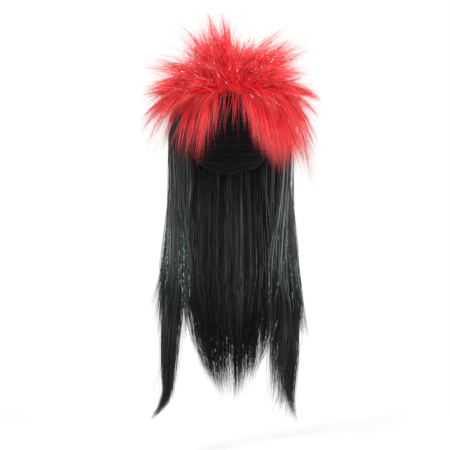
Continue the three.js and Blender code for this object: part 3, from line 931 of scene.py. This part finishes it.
black_panels = {row["node"]: panel_of(row) for row in BLACK_PANELS}
print("panels:", list(black_panels))

# %% [markdown]
# A panel is dense inside and loose outside. Inside it hang slim, flat hearts of dense hair that end in
# points, each at its own length, in a near-black that is painted shade deep in the panel. A block of the
# panel's full width would show as a board between the strands.

# %% Read a panel between its locks
def ease(value, low, high):
    return smooth_step(np.clip((value - low) / (high - low), 0, 1))


def read_panel(values, place, share):
    """Reads a panel's values between its locks, and between the steps of their lines."""
    row_low = np.clip(np.floor(place).astype(int), 0, len(values) - 2)
    step = np.clip(share, 0, 1) * (values.shape[1] - 1)
    step_low = np.minimum(step.astype(int), values.shape[1] - 2)
    part = [place - row_low, step - step_low]
    if values.ndim == 3:
        part = [one[..., None] for one in part]
    first = values[row_low, step_low] * (1 - part[1]) + values[row_low, step_low + 1] * part[1]
    second = values[row_low + 1, step_low] * (1 - part[1]) + values[row_low + 1, step_low + 1] * part[1]
    return first * (1 - part[0]) + second * part[0]


def shortness(panel, among):
    return np.interp(among, np.arange(len(panel["short"])), panel["short"])


for node, panel in black_panels.items():
    print(node, "hangs down to", round(panel["line"][:, -1, 2].min(), 3))

# %% Hearts of a panel
HEARTS_EACH = 5
HEART_WIDE = 0.34
HEART_THICK = 0.42
HEART_END = (0.84, 1.0)
HEART_STATIONS = 22
HEART_SIDES = 6
HEART_TAPER = 0.62
HEART_POINT = 0.95
HEART_ROOT = 0.3
HEART_SWELL = 0.3


def hearts(name, panel):
    rows = HEARTS_EACH * (len(panel["line"]) - 1) + 1
    place = np.repeat(np.arange(rows)[:, None] / HEARTS_EACH, HEART_STATIONS, axis=1)
    gone = np.linspace(0, 1, HEART_STATIONS)
    share = gone * (RANDOM.uniform(*HEART_END, rows) - shortness(panel, place[:, 0]))[:, None]
    lines, across, depth, wide, thick = (
        read_panel(panel[key], place, share) for key in ("line", "across", "depth", "wide", "thick"))
    slim = 1 - HEART_POINT * ease(gone, HEART_TAPER, 1)
    flat = HEART_THICK * slim * (HEART_ROOT + (1 - HEART_ROOT) * ease(gone, 0, HEART_SWELL))
    return sweep(name, lines, across, depth, wide * HEART_WIDE * slim, thick * flat, sides=HEART_SIDES)


print("hearts between two locks:", HEARTS_EACH)

# %% [markdown]
# Strands lie over the whole section. The hair hangs as one sheet and only parts near the ends. So each
# strand belongs to a small clump somewhere on the sheet, starts near it, and is drawn to its middle
# towards the tip. Each clump has a length of its own, so the ends are uneven, as cut hair is.

# %% Clumps and their lengths
PANEL_OVERHANG = 0.4
CLUMP_STRANDS = 20
CLUMP_SPREAD = 0.45
CLUMP_SELDOM = 3
SHORT_OFTEN = 0.5
STRAND_REACH = (0.35, 1.0)
ALL_ROUND = (0, 360)


def spots(count, rows, reaches, turns):
    """Places on a panel's section: among its locks, across a lock and through it."""
    angle = np.radians(RANDOM.uniform(*turns, count))
    reach = np.sqrt(RANDOM.uniform(reaches[0] ** 2, reaches[1] ** 2, count))
    among = RANDOM.uniform(-PANEL_OVERHANG, rows - 1 + PANEL_OVERHANG, count)
    return np.stack([among, np.cos(angle) * reach, np.sin(angle) * reach], -1)


def clump_lengths(panel, clumps, uneven):
    cut = RANDOM.uniform(0, 1, len(clumps))
    return 1 - uneven * cut ** CLUMP_SELDOM - shortness(panel, clumps[:, 0]) * cut ** SHORT_OFTEN


print("strands in a clump:", CLUMP_STRANDS)

# %% [markdown]
# No strand is quite straight. Each wanders sideways in a slow wave that grows towards its tip, and a few
# fly loose. Strands that lie together also share a tone, so the panel shows broad streaks of light and
# dark. They are partly the hair's own uneven tone and partly painted sheen, since the highest tones take
# the painted sheen colour.

# %% Waves and tones of strands
WANDER = 2.6 * MM
WANDER_GROWS = 1.3
WANDER_SHAPE = (1.2, 0.6)
WAVE_BEATS = (0.5, 1.6)
WAVE_DEEP = 0.7
FLYAWAYS = 0.035
FLYAWAY_SWING = 4.0
STREAK_STEP = 0.13
STREAK_TURN = 0.8
STREAK_SHARE = 0.68
STREAK_GAIN = 1.4


def waves(share):
    """Sideways and inward wander of each strand, station by station."""
    count = len(share)
    beat = RANDOM.uniform(*WAVE_BEATS, count)[:, None]
    phase = RANDOM.uniform(0, 2 * math.pi, (2, count, 1))
    loose = np.where(RANDOM.uniform(size=count) < FLYAWAYS, FLYAWAY_SWING, 1)
    stray = (WANDER * loose * RANDOM.gamma(*WANDER_SHAPE, count))[:, None] * share ** WANDER_GROWS
    turn = 2 * math.pi * beat * share
    return stray * np.sin(turn + phase[0]), WAVE_DEEP * stray * np.sin(turn + phase[1])


# streaks of tone: partly uneven colour, partly painted sheen where the tone is highest
def tones_and_sheen_streaks(own, rows):
    steps = np.arange(-1, rows + 1, STREAK_STEP)
    streak = np.interp(own[:, 0] + STREAK_TURN * own[:, 1], steps, RANDOM.uniform(0, 1, len(steps)))
    tone = STREAK_SHARE * streak + (1 - STREAK_SHARE) * RANDOM.uniform(0, 1, len(own))
    return np.clip(MIDDLE_TONE + STREAK_GAIN * (tone - MIDDLE_TONE), 0, 1)


print("one strand in", round(1 / FLYAWAYS), "flies loose")

# %% [markdown]
# Now the strands of a panel can be laid. All of them are worked out side by side in arrays, station by
# station, because a loop over single strands would be slow.

# %% Strands of a panel
STRAND_SHORT = 0.1
STRAND_SELDOM = 2
PART_FROM = 0.55
PART_PULL = 0.72


def lay_strands(panel, count, stops, uneven, reaches=STRAND_REACH, turns=ALL_ROUND, clump=CLUMP_STRANDS):
    rows = len(panel["line"])
    clumps = spots(max(1, count // clump), rows, reaches, turns)
    member = RANDOM.integers(0, len(clumps), count)
    middle = clumps[member]
    own = middle + RANDOM.normal(0, CLUMP_SPREAD, (count, 3))
    own[:, 0] = np.clip(own[:, 0], -PANEL_OVERHANG, rows - 1 + PANEL_OVERHANG)
    longest = clump_lengths(panel, clumps, uneven)[member]
    end = longest * (1 - STRAND_SHORT * RANDOM.uniform(0, 1, count) ** STRAND_SELDOM)
    share = stops * end[:, None]
    hold = 1 - PART_PULL * ease(share / longest[:, None], PART_FROM, 1)
    among, side, deep = ((middle[:, i, None] + (own - middle)[:, i, None] * hold) for i in range(3))
    sway, nod = waves(share)
    side = np.clip(side, -reaches[1], reaches[1]) * read_panel(panel["wide"], among, share) + sway
    deep = np.clip(deep, -reaches[1], reaches[1]) * read_panel(panel["thick"], among, share) + nod
    lines = read_panel(panel["line"], among, share)
    lines = lines + read_panel(panel["across"], among, share) * side[..., None]
    lines = lines + read_panel(panel["depth"], among, share) * deep[..., None]
    return lines, tones_and_sheen_streaks(own, rows)


print("strands part from", PART_FROM, "of their length on")

# %% [markdown]
# The long hair and the layers over it are cut differently. A layer is thinned, so its clumps end at very
# different lengths, and its stations lie close together where it swells over the cap. Its map stops short
# of the dark tips.

# %% Build the black panels
LONG_STOPS = np.array([0, 0.06, 0.13, 0.28, 0.58, 0.82, 0.92, 1])
LAYER_STOPS = np.array([0, 0.055, 0.095, 0.135, 0.19, 0.38, 0.7, 1])
CUTS = {
    "long": {"stops": LONG_STOPS, "uneven": 0.12, "map_top": 1.0},
    "layer": {"stops": LAYER_STOPS, "uneven": 0.4, "map_top": 0.74},
}
BLACK_RADIUS = (0.32 * MM, 0.5 * MM)
BLACK_TAPER = 4

for row in BLACK_PANELS:
    node = row["node"]
    cut = CUTS[node.split("_")[-1]]
    # the hearts' near-black finish is painted shade inside the panel
    dress(hearts(node + "_heart", black_panels[node]), BLACK_DENSE, "black_hair", node)
    lines, tone = lay_strands(black_panels[node], row["strands"], cut["stops"], cut["uneven"])
    radius = RANDOM.uniform(*BLACK_RADIUS, len(lines))
    loose = strands(node + "_strands", lines, radius, tone, cut["stops"], BLACK_TAPER, cut["map_top"])
    dress(loose, BLACK_STRANDS, "black_hair", node)

# %% [markdown]
# ## Spiky red crown
# The red hair is short and teased up, so it bursts out from the crown in pointed tufts. Spikes that are
# placed by hand would take long, and purely random ones would lose the outline. So the burst's reach in
# the front view is a table by angle, and tufts also lean towards the front and the back.

# %% The burst
BURST_CENTRE = np.array([4, -6, -20]) * MM
BURST_FRONT = 106 * MM
BURST_BACK = 138 * MM
BURST_OUTLINE = [(-46, 160), (-20, 150), (0, 146), (18, 116), (40, 142), (62, 116), (80, 76), (98, 146),
                 (118, 128), (136, 110), (155, 126), (180, 158), (204, 150), (217, 150), (230, 104)]
FRONT_OPENING = 0.7


def burst_tip(angle, lean, share):
    reach = smooth_read(angle, BURST_OUTLINE) * MM * share
    turn, tilt = np.radians(angle), np.radians(lean)
    deep = np.where(lean < 0, BURST_FRONT, BURST_BACK) * share
    flat = np.where(lean < 0, np.cos(tilt) ** FRONT_OPENING, np.cos(tilt)) * reach
    return BURST_CENTRE + np.stack([np.cos(turn) * flat, np.sin(tilt) * deep, np.sin(turn) * flat], -1)


print("burst reaches", max(reach for angle, reach in BURST_OUTLINE), "mm from its centre")

# %% [markdown]
# Main tufts stand in rows, from front to back, and give the outline its spikes. Middle tufts fill the
# burst evenly between them, on a spiral of golden steps that leaves no gaps. A fan of tufts springs from
# the brow.

# %% Tips of the tufts
# lean towards the back, share of the reach, first and last angle in the front view, tufts
MAIN_TUFTS = [
    (-52, 0.88, -30, 196, 12),
    (-36, 1.04, -54, 206, 23),
    (-12, 1.15, -52, 220, 29),
    (14, 1.12, -48, 220, 27),
    (40, 1.00, -40, 214, 21),
    (64, 0.95, -30, 210, 13),
]
MAIN_TURN = 3.0
MAIN_LEAN = 7
MAIN_SHARES = (0.82, 1.08)
MIDDLE_TUFTS = {"count": 190, "leans": (-58, 74), "angles": (-52, 206), "shares": (0.74, 0.94)}
FAN_TUFTS = {"count": 44, "leans": (-76, -20), "angles": (-42, 222), "shares": (0.5, 0.95)}
GOLDEN = 0.6180339887


def main_tips():
    rows = [(angle, lean, share) for lean, share, first, last, count in MAIN_TUFTS
            for angle in np.linspace(first, last, count)]
    angle, lean, share = np.array(rows, float).T
    angle = angle + RANDOM.normal(0, MAIN_TURN, len(rows))
    lean = lean + RANDOM.normal(0, MAIN_LEAN, len(rows))
    return burst_tip(angle, lean, share * RANDOM.uniform(*MAIN_SHARES, len(rows)))


def spread_tips(count, leans, angles, shares):
    order = np.arange(count)
    low, high = np.sin(np.radians(leans))
    lean = np.degrees(np.arcsin(low + (high - low) * (order + 0.5) / count))
    angle = angles[0] + (angles[1] - angles[0]) * (order * GOLDEN % 1)
    return burst_tip(angle, lean, RANDOM.uniform(*shares, count))


burst_tips = {"main": main_tips(), "middle": spread_tips(**MIDDLE_TUFTS), "fan": spread_tips(**FAN_TUFTS)}
print("tufts:", {kind: len(tips) for kind, tips in burst_tips.items()})

# %% [markdown]
# Each tuft gathers the strands that start round its root. A strand leaves the cap straight up, bends over
# and ends near the tuft's tip, a little lower the longer it is. A soft limit keeps stray tips near the
# wig's own size.

# %% Fur of a tuft
TUFT_ROOT = 0.7
TUFT_INSET = 4.0
BROW_NARROW = 0.6
TUFT_RISE = (0.3, 0.5)
RISE_FULL = 90
EDGE_INSET = 1
NARROWEST = 0.25
STRAY_SHAPE = (1.3, 0.7)
STRAY_MOST = 2.2
DROOP = 0.9
FUR_LOW = np.array([-157, -118, -400]) * MM
FUR_HIGH = np.array([157, 137, 125]) * MM
LIMIT_POWER = 12


def root_of(tips, from_brow):
    way = tips - CAP_CENTRE
    azimuth = np.degrees(np.arctan2(way[:, 0], -way[:, 1]))
    tip_polar = np.degrees(np.arccos(unit(way)[:, 2]))
    if from_brow:
        azimuth = azimuth * BROW_NARROW
        return azimuth, edge_at(azimuth, CAP_EDGE) - TUFT_INSET, tip_polar
    polar = np.minimum(tip_polar * TUFT_ROOT, edge_at(azimuth, RED_EDGE) - TUFT_INSET)
    return azimuth, polar, tip_polar


def bend(start, middle, end, stations):
    t = np.linspace(0, 1, stations)[None, :, None]
    return (1 - t) ** 2 * start[:, None] + 2 * t * (1 - t) * middle[:, None] + t ** 2 * end[:, None]


def fur(tips, each, stations, spans, scatter, root_spread, from_brow=False):
    tip = np.repeat(tips, each, axis=0)
    count = len(tip)
    azimuth, polar, tip_polar = root_of(tip, from_brow)
    polar = polar + RANDOM.normal(0, root_spread, count)
    polar = np.clip(np.abs(polar), 0, edge_at(azimuth, CAP_EDGE if from_brow else RED_EDGE) - EDGE_INSET)
    round_here = np.maximum(np.sin(np.radians(polar)), NARROWEST)
    azimuth = azimuth + RANDOM.normal(0, root_spread, count) / round_here
    start = cap_point(azimuth, polar, HAIR_SEAT)
    stray = np.minimum(RANDOM.gamma(*STRAY_SHAPE, count), STRAY_MOST)
    aim = tip + RANDOM.normal(0, 1, (count, 3)) * scatter * stray[:, None]
    end = start + (aim - start) * RANDOM.uniform(*spans, count)[:, None]
    length = np.linalg.norm(end - start, axis=1)
    end[:, 2] -= DROOP * length ** 2
    past = end / np.where(end < 0, FUR_LOW, FUR_HIGH)
    end /= (1 + past ** LIMIT_POWER) ** (1 / LIMIT_POWER)
    rise = TUFT_RISE[0] + (TUFT_RISE[1] - TUFT_RISE[0]) * np.minimum(1, tip_polar / RISE_FULL)
    middle = start + cap_normal(azimuth, polar)[1] * (length * rise)[:, None]
    return bend(start, middle, end, stations)


print("fur stays within", FUR_LOW, FUR_HIGH)

# %% [markdown]
# A dense, lumpy pad hides the cap between the roots, in a dark red that is painted shade under the fur.
# Over it lie coats of fur, from short and thick to long and thin, as a teased wig has underfur, tufts and
# stray wisps. The inner coats leave out the palest tones and tips, so the crown is deep red inside with
# painted shade and lighter at its edge with painted light.

# %% Pad of the crown
PAD_TOP = 20 * MM
PAD_EDGE = 4 * MM
PAD_FALL = 3
PAD_LUMP = 2.0 * MM
PAD_LUMPS_ROUND = 11
PAD_LUMPS_DOWN = 19
PAD_TURNS = 90
PAD_ROWS = 30


def pad_height(azimuth, share):
    lumps = np.sin(np.radians(azimuth) * PAD_LUMPS_ROUND) * np.sin(share * PAD_LUMPS_DOWN) * PAD_LUMP
    return PAD_TOP + (PAD_EDGE - PAD_TOP) * share ** PAD_FALL + lumps * (1 - share)


pad = dome("red_crown_pad", RED_EDGE, pad_height, even_height(HAIR_SEAT), PAD_TURNS, PAD_ROWS)
dress(pad, RED_DENSE, "red_hair", "red_crown")

# %% Coats of fur
# lightest and map_top keep the inner coats out of the pale tones and tips: painted shade inside the crown
FUR = [
    {"name": "red_crown_underfur", "tips": "middle", "each": 20, "stations": 5, "spans": (0.42, 0.8),
     "scatter": 12, "root": 9, "radius": (0.36, 0.5), "lightest": 0.86, "map_top": 0.8},
    {"name": "red_crown_middle", "tips": "middle", "each": 22, "stations": 6, "spans": (0.8, 1.04),
     "scatter": 6, "root": 6, "radius": (0.3, 0.44), "lightest": 0.86, "map_top": 0.8},
    {"name": "red_crown_tufts", "tips": "main", "each": 44, "stations": 6, "spans": (0.68, 1.06),
     "scatter": 4.5, "root": 6, "radius": (0.28, 0.42)},
    {"name": "red_crown_wisps", "tips": "main", "each": 14, "stations": 6, "spans": (0.92, 1.16),
     "scatter": 10, "root": 8, "radius": (0.16, 0.26)},
    {"name": "red_crown_fan", "tips": "fan", "each": 24, "stations": 6, "spans": (0.5, 1.02),
     "scatter": 9, "root": 7, "radius": (0.28, 0.42), "from_brow": True, "map_top": 0.75},
]


def coat(name, tips, each, stations, spans, scatter, root, radius, from_brow=False, lightest=1.0,
         map_top=1.0):
    lines = fur(burst_tips[tips], each, stations, spans, scatter * MM, root, from_brow)
    half = RANDOM.uniform(*radius, len(lines)) * MM
    tone = RANDOM.uniform(0, lightest, len(lines))
    piece = strands(name, lines, half, tone, even_stops(stations), map_top=map_top)
    dress(piece, RED_STRANDS, "red_hair", "red_crown")


for row in FUR:
    coat(**row)

# %% [markdown]
# All round its edge the fur overhangs. At the brow it rolls forward and is combed outwards, over the sewn
# row of the fringe. Round the sides and the back it lies down over the roots of the black hair. One
# function lays them all, with a row of angles and depths for each stretch, and its strands go in clumps.
# At the brow its strands keep to the darker root colours, most of all in the middle, as painted shade
# under the roll.

# %% Overhang round the edge of the red hair
OVERHANG_STATIONS = 5
OVERHANG_RADIUS = (0.3 * MM, 0.44 * MM)
OVERHANG_CLUMP = 24
OVERHANG_WIDE = 3.0
OVERHANG_ROOT = (-16, 0)
OVERHANG_OWN = 0.45
OVERHANG_LIGHTEST = 0.9
COMB_FULL = 28
# map_top below 1 keeps the brow strands in the darker root colours: painted shade under the roll
OVERHANGS = [
    {"name": "red_crown_brow_left", "count": 750, "span": (-66, -20), "roll": (11, 23), "drop": (12, 34),
     "out": (7, 20), "comb": (-2, 15), "map_top": 0.6},
    {"name": "red_crown_brow_middle", "count": 640, "span": (-24, 24), "roll": (14, 24), "drop": (10, 22),
     "out": (6, 18), "comb": (-6, 10), "map_top": 0.45},
    {"name": "red_crown_brow_right", "count": 750, "span": (20, 66), "roll": (11, 23), "drop": (12, 34),
     "out": (7, 20), "comb": (-2, 15), "map_top": 0.6},
    {"name": "red_crown_skirt", "count": 1700, "span": (58, 302), "roll": (20, 36), "drop": (3, 34),
     "out": (18, 38), "comb": (-8, 8), "map_top": 1.0},
]


def overhang(name, count, span, roll, drop, out, comb, map_top):
    member = RANDOM.integers(0, count // OVERHANG_CLUMP, count)

    def within(limits):
        """Random values that the strands of a clump mostly share."""
        shared = RANDOM.uniform(0, 1, count)[member]
        own = RANDOM.uniform(0, 1, count)
        return limits[0] + (limits[1] - limits[0]) * (shared + (own - shared) * OVERHANG_OWN)

    azimuth = RANDOM.uniform(*span, count)[member] + RANDOM.normal(0, OVERHANG_WIDE, count)
    level = edge_at(azimuth, RED_EDGE)
    start = cap_point(azimuth, level + RANDOM.uniform(*OVERHANG_ROOT, count), HAIR_SEAT)
    middle = cap_point(azimuth, level, within(roll) * MM)
    combed = azimuth + within(comb) * np.clip(azimuth / COMB_FULL, -1, 1)
    end = cap_point(combed, edge_at(combed, RED_EDGE) + within(drop), within(out) * MM)
    lines = bend(start, middle, end, OVERHANG_STATIONS)
    radius = RANDOM.uniform(*OVERHANG_RADIUS, count)
    tone = RANDOM.uniform(0, OVERHANG_LIGHTEST, count)
    piece = strands(name, lines, radius, tone, even_stops(OVERHANG_STATIONS), map_top=map_top)
    dress(piece, RED_STRANDS, "red_hair", "red_crown")


for stretch in OVERHANGS:
    overhang(**stretch)

# %% [markdown]
# ## Fringe
# A narrow sewn row along the brow carries the fringe. Its locks spring forward and fall. They are thin in
# the middle, where the cap stays open between them, fuller to the left and thickest on the right. Each
# row of the table is a lock with the place of its tip in millimetres. Its strands start side by side on
# the sewn row and end at their own lengths, so the ends are wispy.

# %% Fringe locks
# azimuth, spring, tip x, y and z, spread of the roots in degrees, scatter of the tips in mm, strands
FRINGE = [
    (-54, 30, -90, -72, -136, 6, 9, 40),
    (-44, 26, -76, -80, -152, 5, 9, 50),
    (-33, 24, -48, -92, -112, 4, 8, 160),
    (-31, 24, -55, -92, -146, 5, 9, 120),
    (-20, 24, -30, -102, -110, 3, 6, 36),
    (-9, 20, -14, -104, -104, 14, 13, 14),
    (7, 20, 12, -104, -100, 14, 13, 14),
    (18, 24, 32, -102, -98, 4, 6, 26),
    (26, 24, 48, -98, -122, 4, 7, 150),
    (37, 27, 64, -92, -142, 5, 8, 330),
    (47, 31, 84, -82, -158, 5, 9, 430),
    (56, 34, 104, -72, -150, 5, 10, 400),
    (62, 36, 124, -56, -138, 5, 11, 220),
]
FRINGE_ROOT = (3, 8)
FRINGE_RISE = 3 * MM
FRINGE_SPRING = (0.6, 1.05)
FRINGE_SCATTER = np.array([1, 0.5, 0.6])
FRINGE_STATIONS = 7
FRINGE_LENGTHS = (0.5, 1.06)
FRINGE_RADIUS = (0.2 * MM, 0.36 * MM)


def fringe_lines(azimuth, spring, tip_x, tip_y, tip_z, spread, scatter, count):
    turn = RANDOM.normal(azimuth, spread / 2, count)
    edge = edge_at(turn, CAP_EDGE)
    start = cap_point(turn, edge - RANDOM.uniform(*FRINGE_ROOT, count), HAIR_SEAT)
    crest = cap_point(turn, edge - FRINGE_ROOT[0], spring * RANDOM.uniform(*FRINGE_SPRING, count) * MM)
    crest[:, 2] += FRINGE_RISE
    tip = np.array([tip_x, tip_y, tip_z]) * MM + RANDOM.normal(0, scatter * MM, (count, 3)) * FRINGE_SCATTER
    end = start + (tip - start) * RANDOM.uniform(*FRINGE_LENGTHS, count)[:, None]
    return bend(start, crest, end, FRINGE_STATIONS)


lines = np.concatenate([fringe_lines(*row) for row in FRINGE])
radius = RANDOM.uniform(*FRINGE_RADIUS, len(lines))
tone = RANDOM.uniform(0, 1, len(lines))
fringe = strands("red_fringe_strands", lines, radius, tone, even_stops(FRINGE_STATIONS))
dress(fringe, RED_STRANDS, "red_hair", "red_fringe")

# %% [markdown]
# ## Tinsel
# Here and there a flat, shiny thread is sewn in with the hair. It is a ribbon a millimetre or two wide
# that twists, so it shows as a row of glints. A flattened strand with a turning section does this: teal
# green in the black hair, silver in the red. The tinsel has a random start of its own, so it stays put
# when the hair is combed anew.

# %% Twisting ribbons
TINSEL_SEED = 13
TINSEL_THIN = 0.08 * MM
RANDOM = np.random.default_rng(TINSEL_SEED)


def ribbons(name, lines, half, turns):
    count, stations = lines.shape[:2]
    across, depth = strand_frames(lines)
    twist = RANDOM.uniform(*turns, count)[:, None] * 2 * math.pi * np.linspace(0, 1, stations)
    turn, lean = np.cos(twist)[..., None], np.sin(twist)[..., None]
    return sweep(name, lines, across * turn + depth * lean, depth * turn - across * lean, half, TINSEL_THIN,
                 tone=RANDOM.uniform(0, 1, count), stops=even_stops(stations))


print("tinsel is", TINSEL_THIN / MM, "mm thin on each side")

# %% [markdown]
# Real foil only glints where it happens to mirror a lamp. Thin ribbons are smaller than a pixel, so a
# mirror would flicker or vanish. A group paints the glints instead: noise along each ribbon's place on
# the map picks a few bright spots, painted highlights, more of them towards the tip, and paints the rest
# in the colour of the hair round it, a painted reflection of that hair.

# %% Group for the glints of foil
GLINT_SOFT = 0.05
GLINT_ROWS = 90.0
GLINT_DETAIL = 1.0


def make_glint_group():
    group, given, made = new_group(
        "foil_glints",
        [("Reflected Hair", COLOUR, BLACK), ("Bright", COLOUR, BLACK), ("Beat", NUMBER, 60.0), ("From", NUMBER, 0.0),
         ("To", NUMBER, 0.6), ("Sparse", NUMBER, 0.5)],
        [("Color", COLOUR)])
    tone, along = map_place(group, STRAND_MAP)
    step = sums(group, "MULTIPLY", along, given.outputs["Beat"])
    row = sums(group, "MULTIPLY", tone, GLINT_ROWS)
    spot = put(group, "ShaderNodeCombineXYZ", {"X": row, "Y": step}).outputs[0]
    noise = put(group, "ShaderNodeTexNoise", {"Vector": spot, "Scale": 1.0, "Detail": GLINT_DETAIL})
    full = sums(group, "ADD", given.outputs["Sparse"], GLINT_SOFT)
    dots = smooth_share(group, noise.outputs["Fac"], given.outputs["Sparse"], full)
    length = smooth_share(group, along, given.outputs["From"], given.outputs["To"])
    share = sums(group, "MULTIPLY", dots, length)
    # painted glints over a painted reflection of the hair round the foil
    glinting = blend_colours(group, share, given.outputs["Reflected Hair"], given.outputs["Bright"])
    group.links.new(glinting, made.inputs["Color"])
    return group


GLINT_GROUP = make_glint_group()

# %% [markdown]
# Between its glints the teal foil is painted as dark as the black hair, and the silver one as red as the
# fur: a painted reflection of the hair round them. A full metal would mirror the dark hair and show as
# dark threads at the crown's edge, so both are only slightly metallic.

# %% Teal and silver foil
FOIL_ROUGH = 0.22


def foil_material(name, reflected_hair, bright, metal, numbers):
    colours, sockets = {"Reflected Hair": reflected_hair, "Bright": bright}, {"Metallic": metal}
    return group_material(name, bright, FOIL_ROUGH, GLINT_GROUP, colours, numbers, sockets)


TEAL_GLINTS = {"Beat": 90, "From": 0.52, "To": 0.72, "Sparse": 0.51}
SILVER_GLINTS = {"Beat": 20, "From": 0.4, "To": 0.6, "Sparse": 0.58}
# between glints each foil takes the hair's colour, a painted reflection; the bright colour is its painted
# glints
TEAL_FOIL = foil_material("teal_foil", reflected_hair=(0.012, 0.016, 0.015), bright=(0.56, 0.96, 0.86), metal=0.3,
                          numbers=TEAL_GLINTS)
SILVER_FOIL = foil_material("silver_foil", reflected_hair=(0.9, 0.03, 0.04), bright=(0.99, 0.97, 0.98), metal=0.06,
                            numbers=SILVER_GLINTS)

# %% [markdown]
# In the black hair the ribbons hang with the strands, mostly near the outside of the layers. So the
# strands' own function lays them, with one ribbon to a clump.

# %% Teal tinsel in the black hair
# panel, ribbons, and the part of its section that they lie on, as turns in degrees
TINSEL = [
    ("black_left_long", 5, (-120, 60)),
    ("black_right_long", 5, (120, 300)),
    ("black_back_long", 5, (0, 360)),
    ("black_left_layer", 30, (-110, 30)),
    ("black_right_layer", 14, (150, 290)),
    ("black_back_layer", 12, (180, 360)),
]
TINSEL_HALF = 0.6 * MM
TINSEL_STATIONS = 48
TINSEL_TURNS = (6, 18)
TINSEL_LENGTH = 0.9
TINSEL_REACH = (0.98, 1.12)
TINSEL_UNEVEN = 0.45
TINSEL_CLUMP = 1

ribbon_stops = even_stops(TINSEL_STATIONS) * TINSEL_LENGTH
lines = np.concatenate([
    lay_strands(black_panels[node], count, ribbon_stops, TINSEL_UNEVEN, TINSEL_REACH, turns, TINSEL_CLUMP)[0]
    for node, count, turns in TINSEL])
dress(ribbons("black_tinsel", lines, TINSEL_HALF, TINSEL_TURNS), TEAL_FOIL, "black_hair")

# %% [markdown]
# In the red hair the tinsel follows the tufts of the burst, so the fur's own function lays it. It stops
# short of the tips, where a broad ribbon would stand out dark against the white.

# %% Silver tinsel in the red hair
# tips that sparks follow, sparks for each tip, shortest and longest share of the way, from the brow
SPARKS = [
    ("main", 2, (0.74, 0.93), False),
    ("fan", 3, (0.62, 0.98), True),
]
SPARK_HALF = 0.9 * MM
SPARK_STATIONS = 9
SPARK_TURNS = (1, 2)
SPARK_SCATTER = 8 * MM
SPARK_ROOT = 9
SPARK_LOW = -70 * MM


def spark_lines(tips, each, spans, from_brow):
    high = burst_tips[tips][burst_tips[tips][:, 2] > SPARK_LOW]
    return fur(high, each, SPARK_STATIONS, spans, SPARK_SCATTER, SPARK_ROOT, from_brow)


lines = np.concatenate([spark_lines(*row) for row in SPARKS])
dress(ribbons("red_tinsel", lines, SPARK_HALF, SPARK_TURNS), SILVER_FOIL, "red_hair")

# %% [markdown]
# ## Sizes
# The solids' box is written down. The looks may not outgrow the solids.

# %% The solids' box
print("solids span", SOLID_LOW, SOLID_HIGH)
